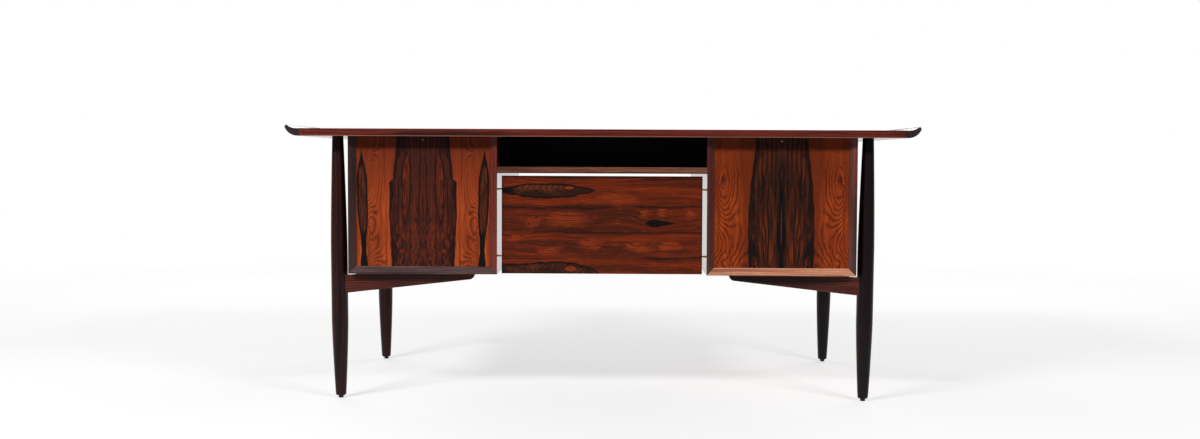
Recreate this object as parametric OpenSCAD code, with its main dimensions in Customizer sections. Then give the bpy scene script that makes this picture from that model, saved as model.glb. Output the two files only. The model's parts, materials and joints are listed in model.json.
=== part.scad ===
// Executive desk: a worktop with upturned end lips on four turned legs.
// Two pedestals hang between the legs on tapered arms, with three drawers each on the user's side.
// Between them are an open shelf, a hung modesty panel and, on the user's side, a shallow drawer.
// Millimetres, +Z up. The origin is on the floor under the middle of the top.
// The visitor's side faces -Y and the user's side faces +Y.

/* [Worktop] */
// Length over both end lips
top_l = 1682; // [1500:1:2000]
// Depth from the visitor's edge to the user's edge
top_d = 840; // [760:1:960]
// Height of the writing surface above the floor
top_h = 730; // [690:1:780]
// Thickness of the top
top_t = 20; // [18:0.5:30]
// Width of the solid lipping along each long edge
edging_w = 8; // [4:1:16]
// Width of each end lip, from its joint to its tip
lip_w = 39; // [36:1:52]
// Height of the lip's tip above the writing surface
lip_rise = 10.5; // [6:0.5:14]
// Height of the lip's cut end
lip_tip_h = 6.5; // [4:0.5:8]
// How far the lip's cut end leans back
lip_tip_slant = 4.7; // [2:0.1:7]
// Width of the flat on a lip's top, beside its joint
lip_flat_top = 8; // [4:0.5:12]
// Width of the flat under a lip, beside its joint
lip_flat_under = 5; // [3:0.5:10]
// Length of the tongue that joins a lip to the panel
lip_tongue_l = 8; // [5:1:12]
// Thickness of that tongue
lip_tongue_t = 6; // [4:0.5:8]
// How far that tongue stops short of the lippings
lip_tongue_stop = 8; // [4:1:20]

/* [Pedestals] */
// Width of each pedestal
ped_w = 400; // [360:1:440]
// Height of each pedestal, up to the underside of the top
ped_h = 368.5; // [340:0.5:400]
// How far the top's ends stand out past the pedestals
top_end_overhang = 160.5; // [120:0.5:200]
// How far the top's long edges stand out past the pedestals
top_overhang = 36; // [20:1:60]
// Thickness of the pedestal sides and bottoms
case_t = 20; // [16:0.5:24]
// Square nose left on the front edges outside the bevel
case_nose = 6; // [4:0.5:9]
// How far the bevel on those edges runs back
case_bevel_d = 9; // [6:0.5:10.5]
// How far the panels and the drawer fronts lie behind the edges
case_recess = 11; // [11:0.5:18]
// Thickness of the board that closes a pedestal at its top
case_top_t = 16; // [12:0.5:20]
// Thickness of the visitor's side panels
panel_t = 12; // [9:0.5:15]
// Depth of the grooves that hold those panels
panel_groove = 4; // [3:0.5:6]

/* [Open shelf and modesty panel] */
// Height of the open shelf space
shelf_space_h = 80; // [70:1:110]
// Depth of the open shelf space
shelf_space_d = 300; // [220:1:360]
// Thickness of the shelf board
shelf_t = 17; // [14:0.5:22]
// Thickness of the board behind the open shelf
shelf_back_t = 12; // [9:0.5:16]
// How deep boards are housed in the sides
housing_d = 6; // [4:0.5:8]
// How far the shelf's housings stop short of the pedestals' edges
housing_stop = 20; // [16:1:40]
// Thickness of the modesty panel
modesty_t = 16; // [14:0.5:20]
// Height of the modesty panel
modesty_h = 263; // [200:1:300]
// How far its face lies behind the pedestals' edges
modesty_set = 17; // [12:1:30]
// Gap between the modesty panel and each pedestal
modesty_gap = 11; // [6:0.5:18]
// Gap between the modesty panel and the shelf board
modesty_top_gap = 7; // [4:0.5:14]
// Diameter of the brass spacer rods
spacer_d = 5; // [4:0.5:8]
// Distance from the panel's top to the upper rods
spacer_drop = 36; // [20:1:60]
// Distance between the upper and lower rods
spacer_apart = 180; // [120:1:190]
// How deep a rod sits in the pedestal side
spacer_in_case = 12; // [8:1:14]
// How deep a rod sits in the modesty panel
spacer_in_panel = 25; // [15:1:40]

/* [Legs and arms] */
// Diameter at the top of a leg
leg_top_d = 30; // [26:0.5:40]
// Largest diameter of a leg
leg_belly_d = 44.5; // [42:0.5:52]
// Diameter at the foot of a leg
leg_foot_d = 28; // [24:0.5:36]
// Height where the full diameter begins
leg_belly_low = 215; // [150:1:260]
// Height where the full diameter ends
leg_belly_high = 410; // [390:1:480]
// Power of the curve by which a leg thins, where 1 is a straight taper
leg_taper = 1.35; // [1:0.05:2]
// Rounding round the foot of a leg
leg_foot_r = 4; // [2:0.5:6]
// How far the foot stands in from the top of the leg
leg_lean = 6; // [0:0.5:20]
// Distance from the top's long edge to the middle of a leg
leg_inset = 73; // [60:1:100]
// Clear space between a leg's belly and the pedestal, at the top
leg_gap = 12; // [8:0.5:24]
// Diameter of the spigot turned on the top of a leg
spigot_d = 18; // [14:1:22]
// Length of that spigot
spigot_l = 12; // [8:1:14]
// Thickness of an arm
arm_t = 26; // [20:1:32]
// Height of an arm at the middle of its leg
arm_root_h = 56; // [48:1:64]
// Height of an arm at the start of its nose
arm_tip_h = 16.5; // [14:0.5:24]
// Length of an arm from the middle of its leg to the start of its nose
arm_l = 354; // [320:1:370]
// Length of the rounded nose
arm_nose = 14; // [8:1:20]
// Depth of the hollow over the root of an arm
arm_relief = 5; // [3:0.5:8]
// How far that hollow reaches under the pedestal
arm_relief_in = 16; // [8:1:30]
// Thickness of the arm's tenon
tenon_t = 10; // [8:1:14]
// Height of the arm's tenon
tenon_h = 30; // [20:1:34]
// Length of the tenon inside the leg
tenon_l = 15; // [10:1:18]
// Height of the glide under a leg
glide_h = 7; // [4:0.5:12]
// Diameter of the glide
glide_d = 13.5; // [10:0.5:20]
// Bevel round the glide's lower edge
glide_bevel = 1; // [0.5:0.5:2]
// Diameter of the glide's nail
glide_nail_d = 3; // [2:0.5:4]
// Length of the glide's nail
glide_nail_l = 14; // [10:1:20]

/* [Drawers] */
// Height of the top drawer fronts
top_front_h = 95; // [80:1:110]
// Height of the middle drawer fronts
middle_front_h = 115; // [95:1:120]
// Length of the pedestal drawers
drawer_l = 520; // [420:1:620]
// Space left behind the shallow middle drawer
centre_drawer_space = 25; // [10:1:100]
// Gap round every drawer front
front_gap = 1.5; // [1:0.1:3]
// Thickness of the drawer fronts
front_t = 20; // [18:0.5:24]
// Space behind a drawer front, up to the runners and the pedestal top
front_space = 4; // [2:0.5:8]
// Thickness of the drawer sides and backs
side_t = 12; // [11:0.5:15]
// How far the drawer sides start above the bottom of the front
side_rise = 4; // [2:0.5:8]
// Running clearance between the top drawers' sides and the pedestal top
case_top_clear = 2.5; // [1.5:0.5:5]
// How far a drawer back ends below its sides
back_drop = 6; // [0:0.5:12]
// Thickness of the drawer bottoms
bottom_t = 5; // [4:0.5:7]
// Height of a drawer bottom above the lower edge of the sides
bottom_rise = 8; // [6:0.5:10]
// Depth of the grooves for the drawer bottoms
bottom_groove = 6; // [4:0.5:7]
// Depth of the housings for the drawer backs
back_housing = 4; // [3:0.5:6]
// Height of the wooden runners
runner_h = 12; // [8:0.5:14]
// How deep a runner is let into the pedestal side
runner_seat = 3; // [2:0.5:4]
// How deep a runner reaches into the drawer side
runner_reach = 6.5; // [4:0.5:7]
// Spacing wanted between the dovetails
tail_pitch = 30; // [22:1:40]
// Length of the dovetails
tail_l = 14; // [10:0.5:16]
// How far each flank of a dovetail flares
tail_flare = 2.5; // [1:0.5:4]

/* [Drawer pulls] */
// Length of a pull
pull_l = 120; // [80:1:180]
// Height of a pull
pull_h = 22; // [20:0.5:30]
// How far a pull stands out from the drawer front
pull_out = 22; // [20:0.5:28]
// Thickness of the pull's back
pull_back_t = 5; // [4:0.5:6]
// Thickness of the pull's lip
pull_lip_t = 5; // [4:0.5:7]
// Height of the pull's front lip
pull_lip_h = 14; // [12:0.5:18]
// Radius of the pull's upper front edge
pull_edge_r = 5; // [2:0.5:8]
// Radius of the pull's ends, seen from above
pull_end_r = 12; // [6:0.5:16]
// Length of the tongue that holds a pull in its front
pull_tongue_l = 80; // [50:1:90]
// Thickness of that tongue
pull_tongue_t = 8; // [6:0.5:10]
// Depth of that tongue
pull_tongue_d = 6; // [4:0.5:8]

/* [Screws] */
// Shank diameter of the screws that hold the arms
arm_screw_d = 5; // [4:0.5:6]
// Head diameter of those screws
arm_screw_head_d = 10; // [8:0.5:12]
// Head height of those screws
arm_screw_head_h = 3; // [2:0.5:4]
// How far those screws reach into the pedestal bottom
arm_screw_in = 14; // [10:1:14]
// Wood left above the heads of those screws
arm_screw_seat = 15; // [8:1:20]
// Distance from the middle of a leg to the nearer of those screws
arm_screw_near = 110; // [80:1:150]
// Distance from the start of an arm's nose to the farther one
arm_screw_far = 71; // [50:1:100]
// Shank diameter of the screws that hold the top
top_screw_d = 4.5; // [3.5:0.5:5]
// Head diameter of those screws
top_screw_head_d = 9; // [7:0.5:10]
// Height of their countersunk heads
top_screw_head_h = 3; // [2:0.5:4]
// How far those screws reach into the top
top_screw_in = 12; // [8:1:15]
// Distance from a drawer opening's side to those screws
top_screw_side = 60; // [30:1:100]
// Distance from a pedestal's edge to those screws
top_screw_end = 134; // [100:1:200]
// Shank diameter of the panel screws
panel_screw_d = 3.5; // [3:0.5:4]
// Head diameter of the panel screws
panel_screw_head_d = 6.5; // [5:0.5:8]
// Height of their domed heads
panel_screw_head_h = 2; // [1.5:0.5:3]
// How far the panel screws reach into the pedestal top
panel_screw_in = 20; // [12:1:30]

/* [Clearances] */
// Radial clearance round spigots, rods, nails and screws
round_fit = 0.05; // [0.01:0.01:0.1]
// Room past the end of a spigot, tenon, rod, nail or screw in its hole
end_fit = 0.25; // [0.1:0.05:0.5]
// Clearance on each face of a glued joint
joint_fit = 0.1; // [0.05:0.01:0.2]
// Running clearance of a drawer above its runner
runner_fit = 0.3; // [0.1:0.05:0.6]
// Running clearance below and beside a runner
runner_play = 0.5; // [0.3:0.05:1]

/* [Hidden] */
$fn = 48;
// Overshoot of a cut past the face that it opens
cut = 1;

SIDES = ["left", "right"];
PLACES = ["visitor_left", "visitor_right", "user_left", "user_right"];
LEVELS = ["bottom", "middle", "top"];
PEDESTAL_DRAWERS = [for (s = SIDES) for (v = LEVELS) str(s, "_", v)];
DRAWERS = concat(PEDESTAL_DRAWERS, ["centre"]);
CASE_PIECES = ["outer_side", "inner_side", "case_bottom", "case_top", "visitor_panel"];
DRAWER_PIECES = ["front", "box", "bottom", "pull"];

// Levels above the floor
under_z = top_h - top_t;
ped_z = under_z - ped_h;
shelf_z = under_z - shelf_space_h;
modesty_z = shelf_z - shelf_t - modesty_top_gap - modesty_h;
spacer_high_z = modesty_z + modesty_h - spacer_drop;
spacer_low_z = spacer_high_z - spacer_apart;

// Distances from the middle of the desk
panel_half_l = top_l / 2 - lip_w;
ped_outer_x = top_l / 2 - top_end_overhang;
ped_inner_x = ped_outer_x - ped_w;
knee_w = 2 * ped_inner_x;
ped_mid_x = (ped_inner_x + ped_outer_x) / 2;
ped_half_d = top_d / 2 - top_overhang;
front_y = ped_half_d - case_recess;
shelf_back_y = shelf_space_d - ped_half_d;
centre_drawer_l = front_y - shelf_back_y - shelf_back_t - centre_drawer_space;
modesty_y = modesty_set - ped_half_d;
spacer_y = modesty_y + modesty_t / 2;
leg_y = top_d / 2 - leg_inset;
leg_top_x = ped_outer_x + leg_gap + leg_belly_d / 2;
leg_foot_x = leg_top_x - leg_lean;
leg_tilt = atan(leg_lean / under_z);

// The arms, at their own level
tenon_z = ped_z - arm_relief - (arm_root_h - arm_relief) / 2;
arm_axis_x = leg_foot_x + leg_lean * tenon_z / under_z;
arm_relief_end = arm_axis_x - ped_outer_x + arm_relief_in;
arm_screws_at = [arm_screw_near, arm_l - arm_screw_far];

// Drawer openings and fronts
opening_w = ped_w - 2 * case_t;
bottom_front_h = ped_h - case_t - 4 * front_gap - top_front_h - middle_front_h;
front_heights = [bottom_front_h, middle_front_h, top_front_h];
centre_front_h = shelf_space_h - 2 * front_gap;
side_drop = case_top_t + case_top_clear - front_gap;
runner_w = runner_seat + front_gap + runner_reach;
runner_groove_d = runner_reach + runner_play;
panel_screw_z = under_z - case_top_t / 2;

// Height of the lower edge of pedestal drawer front number i, counted from the bottom
function front_z(i) = i == 0
    ? ped_z + case_t + front_gap
    : front_z(i - 1) + front_heights[i - 1] + front_gap;

// Middle height of the runner above the lower edge of a front of height h
function runner_mid(h) = (side_rise + h - side_drop) / 2 + bottom_t / 2;

// Radius of a leg at height z along its axis
function leg_r(z) =
    z < leg_belly_low ? taper((leg_belly_low - z) / (leg_belly_low - glide_h), leg_foot_d)
    : z > leg_belly_high ? taper((z - leg_belly_high) / (under_z - leg_belly_high), leg_top_d)
    : leg_belly_d / 2;
function taper(share, end_d) = (leg_belly_d - (leg_belly_d - end_d) * pow(share, leg_taper)) / 2;

// Radius of a circle that leaves a level line and climbs dz over dx
function climb_r(dx, dz) = (dx * dx + dz * dz) / (2 * dz);

// How much longer a piece is drawn where it cuts its hole: past its end, and past an open side
function past_end(fit) = fit > 0 ? end_fit : 0;
function past_side(fit) = fit > 0 ? cut : 0;

// Extrudes an outline drawn in Y and Z along X
module along_x(length) {
    rotate([90, 0, 90]) linear_extrude(length) children();
}

// Extrudes an outline drawn in X and Z along Y, half to each side
module along_y(length) {
    translate([0, length / 2, 0]) rotate([90, 0, 0]) linear_extrude(length) children();
}

// A box from one corner to the other
module block(low, high) {
    translate(low) cube(high - low);
}

// Turns a piece drawn for the right and visitor's side round to side sx and depth sy
module placed(sx, sy = 1) {
    mirror([sx < 0 ? 1 : 0, 0, 0]) mirror([0, sy < 0 ? 1 : 0, 0]) children();
}

// Round-headed screw with its tip upwards and the underside of its head at the origin
module screw(shank_d, length, head_d, head_h, fit = 0) {
    translate([0, 0, -head_h - fit]) cylinder(d = head_d + 2 * fit, h = head_h + fit);
    translate([0, 0, -fit]) cylinder(d = shank_d + 2 * fit, h = fit + length + past_end(fit));
}

// Countersunk screw with its tip upwards and the face of its head at the origin
module sunk_screw(shank_d, length, head_d, head_h, fit = 0) {
    cylinder(d1 = head_d + 2 * fit, d2 = shank_d + 2 * fit, h = head_h);
    cylinder(d = shank_d + 2 * fit, h = length + past_end(fit));
}

/* Worktop */

module top_panel() {
    color([0.36, 0.13, 0.08]) difference() {
        block([-panel_half_l, edging_w - top_d / 2, under_z], [panel_half_l, top_d / 2 - edging_w, top_h]);
        for (sx = [-1, 1]) {
            placed(sx) translate([panel_half_l, 0, 0]) lip_tongue(joint_fit);
            placed(sx) translate([ped_mid_x, 0, 0]) top_screw_set(round_fit);
            for (sy = [-1, 1]) placed(sx, sy) leg_spigot(round_fit);
        }
    }
}

module top_edgings() {
    color([0.42, 0.16, 0.11]) for (sy = [-1, 1]) {
        placed(1, sy) block([-panel_half_l, -top_d / 2, under_z], [panel_half_l, edging_w - top_d / 2, top_h]);
    }
}

// Outline of an end lip in X and Z, from its joint outwards, with the writing surface at zero
module lip_outline() {
    tip_low = lip_rise - lip_tip_h;
    hollow_r = climb_r(lip_w - lip_tip_slant - lip_flat_top, lip_rise);
    belly_r = climb_r(lip_w - lip_flat_under, top_t + tip_low);
    difference() {
        intersection() {
            translate([0, -top_t]) square([lip_w, top_t + lip_rise]);
            union() {
                translate([0, -top_t]) square([lip_flat_under, top_t]);
                translate([lip_flat_under, belly_r - top_t]) circle(belly_r, $fn = 144);
            }
        }
        translate([-cut, 0]) square([lip_flat_top + cut, lip_rise + cut]);
        translate([lip_flat_top, hollow_r]) circle(hollow_r, $fn = 144);
        polygon([[lip_w, tip_low], [lip_w + lip_tip_slant, tip_low], [lip_w + lip_tip_slant, lip_rise + cut],
            [lip_w - lip_tip_slant, lip_rise + cut], [lip_w - lip_tip_slant, lip_rise]]);
    }
}

module lip_tongue(fit = 0) {
    tongue_half_l = top_d / 2 - edging_w - lip_tongue_stop;
    mid_z = top_h - top_t / 2;
    block([-lip_tongue_l - fit, -tongue_half_l - fit, mid_z - lip_tongue_t / 2 - fit],
        [cut, tongue_half_l + fit, mid_z + lip_tongue_t / 2 + fit]);
}

module top_lip(sx) {
    color([0.14, 0.06, 0.06]) placed(sx) translate([panel_half_l, 0, 0]) {
        translate([0, 0, top_h]) along_y(top_d) lip_outline();
        lip_tongue();
    }
}

/* Legs */

// A leg's turned solid, in place at the right and visitor's corner, with a radius larger by extra
module leg_turning(extra = 0) {
    steps = 10;
    taper_z = glide_h + leg_foot_r;
    translate([leg_foot_x, -leg_y, 0]) rotate([0, leg_tilt, 0]) rotate_extrude() polygon(concat(
        [[0, glide_h - cut], [leg_foot_d / 2 - leg_foot_r + extra, glide_h - cut]],
        [for (a = [0:30:90])
            [leg_foot_d / 2 - leg_foot_r * (1 - sin(a)) + extra, glide_h + leg_foot_r * (1 - cos(a))]],
        [for (i = [1:steps - 1]) let (z = taper_z + (leg_belly_low - taper_z) * i / steps)
            [leg_r(z) + extra, z]],
        [[leg_r(leg_belly_low) + extra, leg_belly_low]],
        [for (i = [0:steps]) let (z = leg_belly_high + (under_z - leg_belly_high) * i / steps)
            [leg_r(z) + extra, z]],
        [[leg_r(under_z) + extra, under_z + cut], [0, under_z + cut]]
    ));
}

module leg_spigot(fit = 0) {
    translate([leg_top_x, -leg_y, under_z - cut])
        cylinder(d = spigot_d + 2 * fit, h = cut + spigot_l + past_end(fit));
}

module glide_nail(fit = 0) {
    translate([leg_foot_x, -leg_y, glide_h - cut])
        cylinder(d = glide_nail_d + 2 * fit, h = cut + glide_nail_l + past_end(fit));
}

module arm_tenon(fit = 0) {
    root_x = arm_axis_x - leg_belly_d / 2;
    block([root_x - cut, -leg_y - tenon_t / 2 - fit, tenon_z - tenon_h / 2 - fit],
        [root_x + tenon_l + past_end(fit), -leg_y + tenon_t / 2 + fit, tenon_z + tenon_h / 2 + fit]);
}

module leg(sx, sy) {
    color([0.12, 0.055, 0.05]) placed(sx, sy) {
        difference() {
            intersection() {
                leg_turning();
                block([leg_foot_x - leg_belly_d, -leg_y - leg_belly_d, glide_h],
                    [leg_top_x + leg_belly_d, -leg_y + leg_belly_d, under_z]);
            }
            arm_tenon(joint_fit);
            glide_nail(round_fit);
        }
        leg_spigot();
    }
}

module leg_glides() {
    glide_r = glide_d / 2;
    color([0.08, 0.08, 0.08]) for (sx = [-1, 1]) for (sy = [-1, 1]) placed(sx, sy) {
        translate([leg_foot_x, -leg_y, 0]) rotate_extrude() polygon([
            [0, 0], [glide_r - glide_bevel, 0], [glide_r, glide_bevel], [glide_r, glide_h], [0, glide_h]
        ]);
        glide_nail();
    }
}

/* Arms */

// Outline of an arm in X and Z, from the middle of its leg inwards, with the pedestal's underside at zero
module arm_outline() {
    difference() {
        polygon(concat(
            [[0, 0], [0, -arm_root_h]],
            [for (a = [0:15:90]) [arm_l + arm_nose * sin(a), -arm_tip_h * cos(a)]]
        ));
        translate([-cut, -arm_relief]) square([arm_relief_end - arm_relief + cut, arm_relief + cut]);
        translate([arm_relief_end - arm_relief, 0]) circle(arm_relief);
    }
}

// Middle of arm screw number i, with its head's seat at the right height
module at_arm_screw(i) {
    translate([arm_axis_x - arm_screws_at[i], -leg_y, ped_z - arm_screw_seat]) children();
}

module arm_screw(fit = 0) {
    screw(arm_screw_d, arm_screw_seat + arm_screw_in, arm_screw_head_d, arm_screw_head_h, fit);
}

module arm(sx, sy) {
    color([0.25, 0.1, 0.07]) placed(sx, sy) {
        difference() {
            translate([arm_axis_x, -leg_y, ped_z]) mirror([1, 0, 0]) along_y(arm_t) arm_outline();
            leg_turning(joint_fit);
            for (i = [0, 1]) {
                at_arm_screw(i) arm_screw(round_fit);
                at_arm_screw(i) mirror([0, 0, 1])
                    cylinder(d = arm_screw_head_d + 2 * round_fit, h = arm_root_h);
            }
        }
        arm_tenon();
    }
}

module arm_screws() {
    color([0.75, 0.7, 0.5]) for (sx = [-1, 1]) for (sy = [-1, 1]) for (i = [0, 1]) {
        placed(sx, sy) at_arm_screw(i) arm_screw();
    }
}

/* Pedestals */

// Outline in Y of a board of the case, with its outer face at zero and both edges bevelled inwards
module case_profile() {
    polygon([
        [0, -ped_half_d], [case_nose, -ped_half_d], [case_t, case_bevel_d - ped_half_d],
        [case_t, ped_half_d - case_bevel_d], [case_nose, ped_half_d], [0, ped_half_d]
    ]);
}

// Groove for the visitor's panel, round the inside of the right pedestal
module panel_groove_cut() {
    visitor_panel_block(joint_fit, panel_groove);
}

module visitor_panel_block(fit, depth) {
    face_y = case_recess - ped_half_d;
    block([ped_inner_x + case_t - depth - fit, face_y - fit, ped_z + case_t - depth - fit],
        [ped_outer_x - case_t + depth + fit, face_y + panel_t + fit, under_z + past_side(fit)]);
}

// Runner in a pedestal side whose inner face is at zero, with the drawer on +X
module runner(y_front, length, z, fit = 0) {
    block([-runner_seat - fit, y_front - length - fit, z - runner_h / 2 - fit],
        [runner_w - runner_seat, y_front + fit, z + runner_h / 2 + fit]);
}

// Every runner of the right half: three on each pedestal side and one for the middle drawer
module right_runners(fit = 0) {
    y_front = front_y - front_t - front_space - runner_fit;
    for (i = [0:len(LEVELS) - 1]) {
        z = front_z(i) + runner_mid(front_heights[i]);
        length = drawer_l - front_t - front_space;
        translate([ped_inner_x + case_t, 0, 0]) runner(y_front, length, z, fit);
        translate([ped_outer_x - case_t, 0, 0]) mirror([1, 0, 0]) runner(y_front, length, z, fit);
    }
    translate([ped_inner_x, 0, 0]) mirror([1, 0, 0]) runner(y_front,
        centre_drawer_l - front_t - front_space, shelf_z + front_gap + runner_mid(centre_front_h), fit);
}

module drawer_runners() {
    color([0.5, 0.33, 0.18]) for (sx = [-1, 1]) placed(sx) right_runners();
}

// Side board of the right pedestal with its outer face at X zero and its mitred foot at Z zero
module case_side_board() {
    intersection() {
        linear_extrude(ped_h) case_profile();
        along_y(2 * ped_half_d) polygon([[0, 0], [case_t, case_t], [case_t, ped_h], [0, ped_h]]);
    }
}

// Ends of the case top and the shelf board, let into the sides
module case_top_block(fit = 0) {
    block([ped_inner_x + case_t - housing_d - fit, case_recess + panel_t - ped_half_d + joint_fit - fit,
        under_z - case_top_t - fit],
        [ped_outer_x - case_t + housing_d + fit, front_y - front_t - front_space, under_z + past_side(fit)]);
}

module shelf_tongue(fit = 0) {
    tongue_half_l = ped_half_d - housing_stop;
    block([-ped_inner_x - housing_d - fit, -tongue_half_l - fit, shelf_z - shelf_t - fit],
        [ped_inner_x + housing_d + fit, tongue_half_l + fit, shelf_z + fit]);
}

module spacer(z, fit = 0) {
    length = spacer_in_panel + modesty_gap + spacer_in_case;
    translate([ped_inner_x - modesty_gap - spacer_in_panel - past_end(fit), spacer_y, z]) rotate([0, 90, 0])
        cylinder(d = spacer_d + 2 * fit, h = length + 2 * past_end(fit));
}

module outer_side(sx) {
    color([0.3, 0.12, 0.09]) placed(sx) difference() {
        translate([ped_outer_x, 0, ped_z]) mirror([1, 0, 0]) case_side_board();
        panel_groove_cut();
        case_top_block(joint_fit);
        right_runners(joint_fit);
    }
}

module inner_side(sx) {
    color([0.3, 0.12, 0.09]) placed(sx) difference() {
        translate([ped_inner_x, 0, ped_z]) case_side_board();
        panel_groove_cut();
        case_top_block(joint_fit);
        right_runners(joint_fit);
        shelf_tongue(joint_fit);
        spacer(spacer_high_z, round_fit);
        spacer(spacer_low_z, round_fit);
    }
}

module case_bottom(sx) {
    color([0.36, 0.17, 0.12]) placed(sx) difference() {
        translate([ped_inner_x, 0, ped_z]) intersection() {
            along_x(ped_w) mirror([1, -1]) case_profile();
            along_y(2 * ped_half_d) polygon([[0, 0], [ped_w, 0], [ped_w - case_t, case_t], [case_t, case_t]]);
        }
        panel_groove_cut();
        for (sy = [-1, 1]) for (i = [0, 1]) placed(1, sy) at_arm_screw(i) arm_screw(round_fit);
    }
}

module at_panel_screw() {
    translate([ped_mid_x, case_recess - ped_half_d, panel_screw_z]) rotate([-90, 0, 0]) children();
}

module panel_screw_hole() {
    at_panel_screw()
        screw(panel_screw_d, panel_t + panel_screw_in, panel_screw_head_d, panel_screw_head_h, round_fit);
}

// The four screws that hold the top on a pedestal whose middle is at X zero
module top_screw_set(fit = 0) {
    screw_x = opening_w / 2 - top_screw_side;
    screw_y = ped_half_d - top_screw_end;
    for (sx = [-1, 1]) for (sy = [-1, 1]) translate([sx * screw_x, sy * screw_y, under_z - case_top_t])
        sunk_screw(top_screw_d, case_top_t + top_screw_in, top_screw_head_d, top_screw_head_h, fit);
}

module case_top(sx) {
    color([0.5, 0.33, 0.18]) placed(sx) difference() {
        case_top_block();
        translate([ped_mid_x, 0, 0]) top_screw_set(round_fit);
        panel_screw_hole();
    }
}

module visitor_panel(sx) {
    color([0.45, 0.17, 0.08]) placed(sx) difference() {
        visitor_panel_block(0, panel_groove);
        panel_screw_hole();
    }
}

module top_screws() {
    color([0.75, 0.7, 0.5]) for (sx = [-1, 1]) placed(sx) translate([ped_mid_x, 0, 0]) top_screw_set();
}

// Panel screws have a domed head
module panel_screws() {
    dome_r = climb_r(panel_screw_head_d / 2, panel_screw_head_h);
    color([0.85, 0.8, 0.65]) for (sx = [-1, 1]) placed(sx) at_panel_screw() {
        cylinder(d = panel_screw_d, h = panel_t + panel_screw_in);
        intersection() {
            translate([0, 0, dome_r - panel_screw_head_h]) sphere(dome_r);
            translate([0, 0, -panel_screw_head_h]) cylinder(d = 2 * panel_screw_head_d, h = panel_screw_head_h);
        }
    }
}

/* Middle section */

module shelf_board() {
    color([0.3, 0.12, 0.09]) {
        block([-ped_inner_x, -ped_half_d, shelf_z - shelf_t], [ped_inner_x, ped_half_d, shelf_z]);
        shelf_tongue();
    }
}

module shelf_back() {
    color([0.2, 0.09, 0.07]) block([-ped_inner_x, shelf_back_y, shelf_z],
        [ped_inner_x, shelf_back_y + shelf_back_t, under_z]);
}

module modesty_panel() {
    half_w = ped_inner_x - modesty_gap;
    color([0.42, 0.14, 0.07]) difference() {
        block([-half_w, modesty_y, modesty_z], [half_w, modesty_y + modesty_t, modesty_z + modesty_h]);
        for (sx = [-1, 1]) for (z = [spacer_low_z, spacer_high_z]) placed(sx) spacer(z, round_fit);
    }
}

module modesty_spacers() {
    color([0.8, 0.6, 0.25]) for (sx = [-1, 1]) for (z = [spacer_low_z, spacer_high_z]) placed(sx) spacer(z);
}

/* Drawers: X is zero at the middle, Y at the face of the front and Z at its lower edge */

// Dovetails of the right side of a drawer with a front w wide and h high
module tails(w, h, fit = 0) {
    side_h = h - side_rise - side_drop;
    count = max(2, round(side_h / tail_pitch));
    pitch = side_h / count;
    root = pitch / 4 + fit;
    tip = root + tail_flare;
    translate([w / 2 - side_t - fit, 0, side_rise]) along_x(side_t + fit + past_side(fit))
        for (k = [0:count - 1]) translate([-front_t, pitch * (k + 0.5)]) polygon([
            [-cut, -root], [0, -root], [tail_l + fit, -tip], [tail_l + fit, tip], [0, root], [-cut, root]
        ]);
}

module pull_tongue(h, fit = 0) {
    block([-pull_tongue_l / 2 - fit, -pull_tongue_d - fit, (h - pull_tongue_t) / 2 - fit],
        [pull_tongue_l / 2 + fit, cut, (h + pull_tongue_t) / 2 + fit]);
}

// The bottom board of a drawer, with the grooves' clearance as fit
module drawer_bottom_block(w, l, fit = 0) {
    half_w = w / 2 - side_t + bottom_groove;
    low = side_rise + bottom_rise;
    block([-half_w - fit, -l - past_side(fit), low - fit],
        [half_w + fit, bottom_groove - front_t + fit, low + bottom_t + fit]);
}

module drawer_back_block(w, h, l, fit = 0) {
    half_w = w / 2 - side_t + back_housing;
    open_top = fit > 0 ? back_drop + cut : 0;
    block([-half_w - fit, -l - past_side(fit), side_rise + bottom_rise + bottom_t + joint_fit],
        [half_w + fit, side_t - l + fit, h - side_drop - back_drop + open_top]);
}

module drawer_front(w, h, l) {
    color([0.4, 0.15, 0.08]) difference() {
        block([-w / 2, -front_t, 0], [w / 2, 0, h]);
        for (sx = [-1, 1]) placed(sx) tails(w, h, joint_fit);
        drawer_bottom_block(w, l, joint_fit);
        pull_tongue(h, joint_fit);
    }
}

module drawer_box(w, h, l) {
    mid = runner_mid(h);
    color([0.72, 0.52, 0.33]) {
        for (sx = [-1, 1]) placed(sx) difference() {
            union() {
                block([w / 2 - side_t, -l, side_rise], [w / 2, -front_t, h - side_drop]);
                tails(w, h);
            }
            block([w / 2 - runner_groove_d, -l - cut, mid - runner_h / 2 - runner_play],
                [w / 2 + cut, -front_t - front_space, mid + runner_h / 2 + runner_fit]);
            drawer_bottom_block(w, l, joint_fit);
            drawer_back_block(w, h, l, joint_fit);
        }
        drawer_back_block(w, h, l);
    }
}

module drawer_bottom(w, l) {
    color([0.8, 0.66, 0.47]) drawer_bottom_block(w, l);
}

// Outline of a pull in Y and Z, with its finger space open below
module pull_outline() {
    space = pull_out - pull_back_t - pull_lip_t;
    difference() {
        union() {
            square([pull_out - pull_edge_r, pull_h]);
            square([pull_out, pull_h - pull_edge_r]);
            translate([pull_out - pull_edge_r, pull_h - pull_edge_r]) circle(pull_edge_r);
        }
        translate([pull_back_t, -cut]) square([pull_out, cut + pull_h - pull_lip_h]);
        translate([pull_back_t, -cut]) square([space, cut + pull_h - pull_lip_t - space / 2]);
        translate([pull_back_t + space / 2, pull_h - pull_lip_t - space / 2]) circle(space / 2);
    }
}

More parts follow.
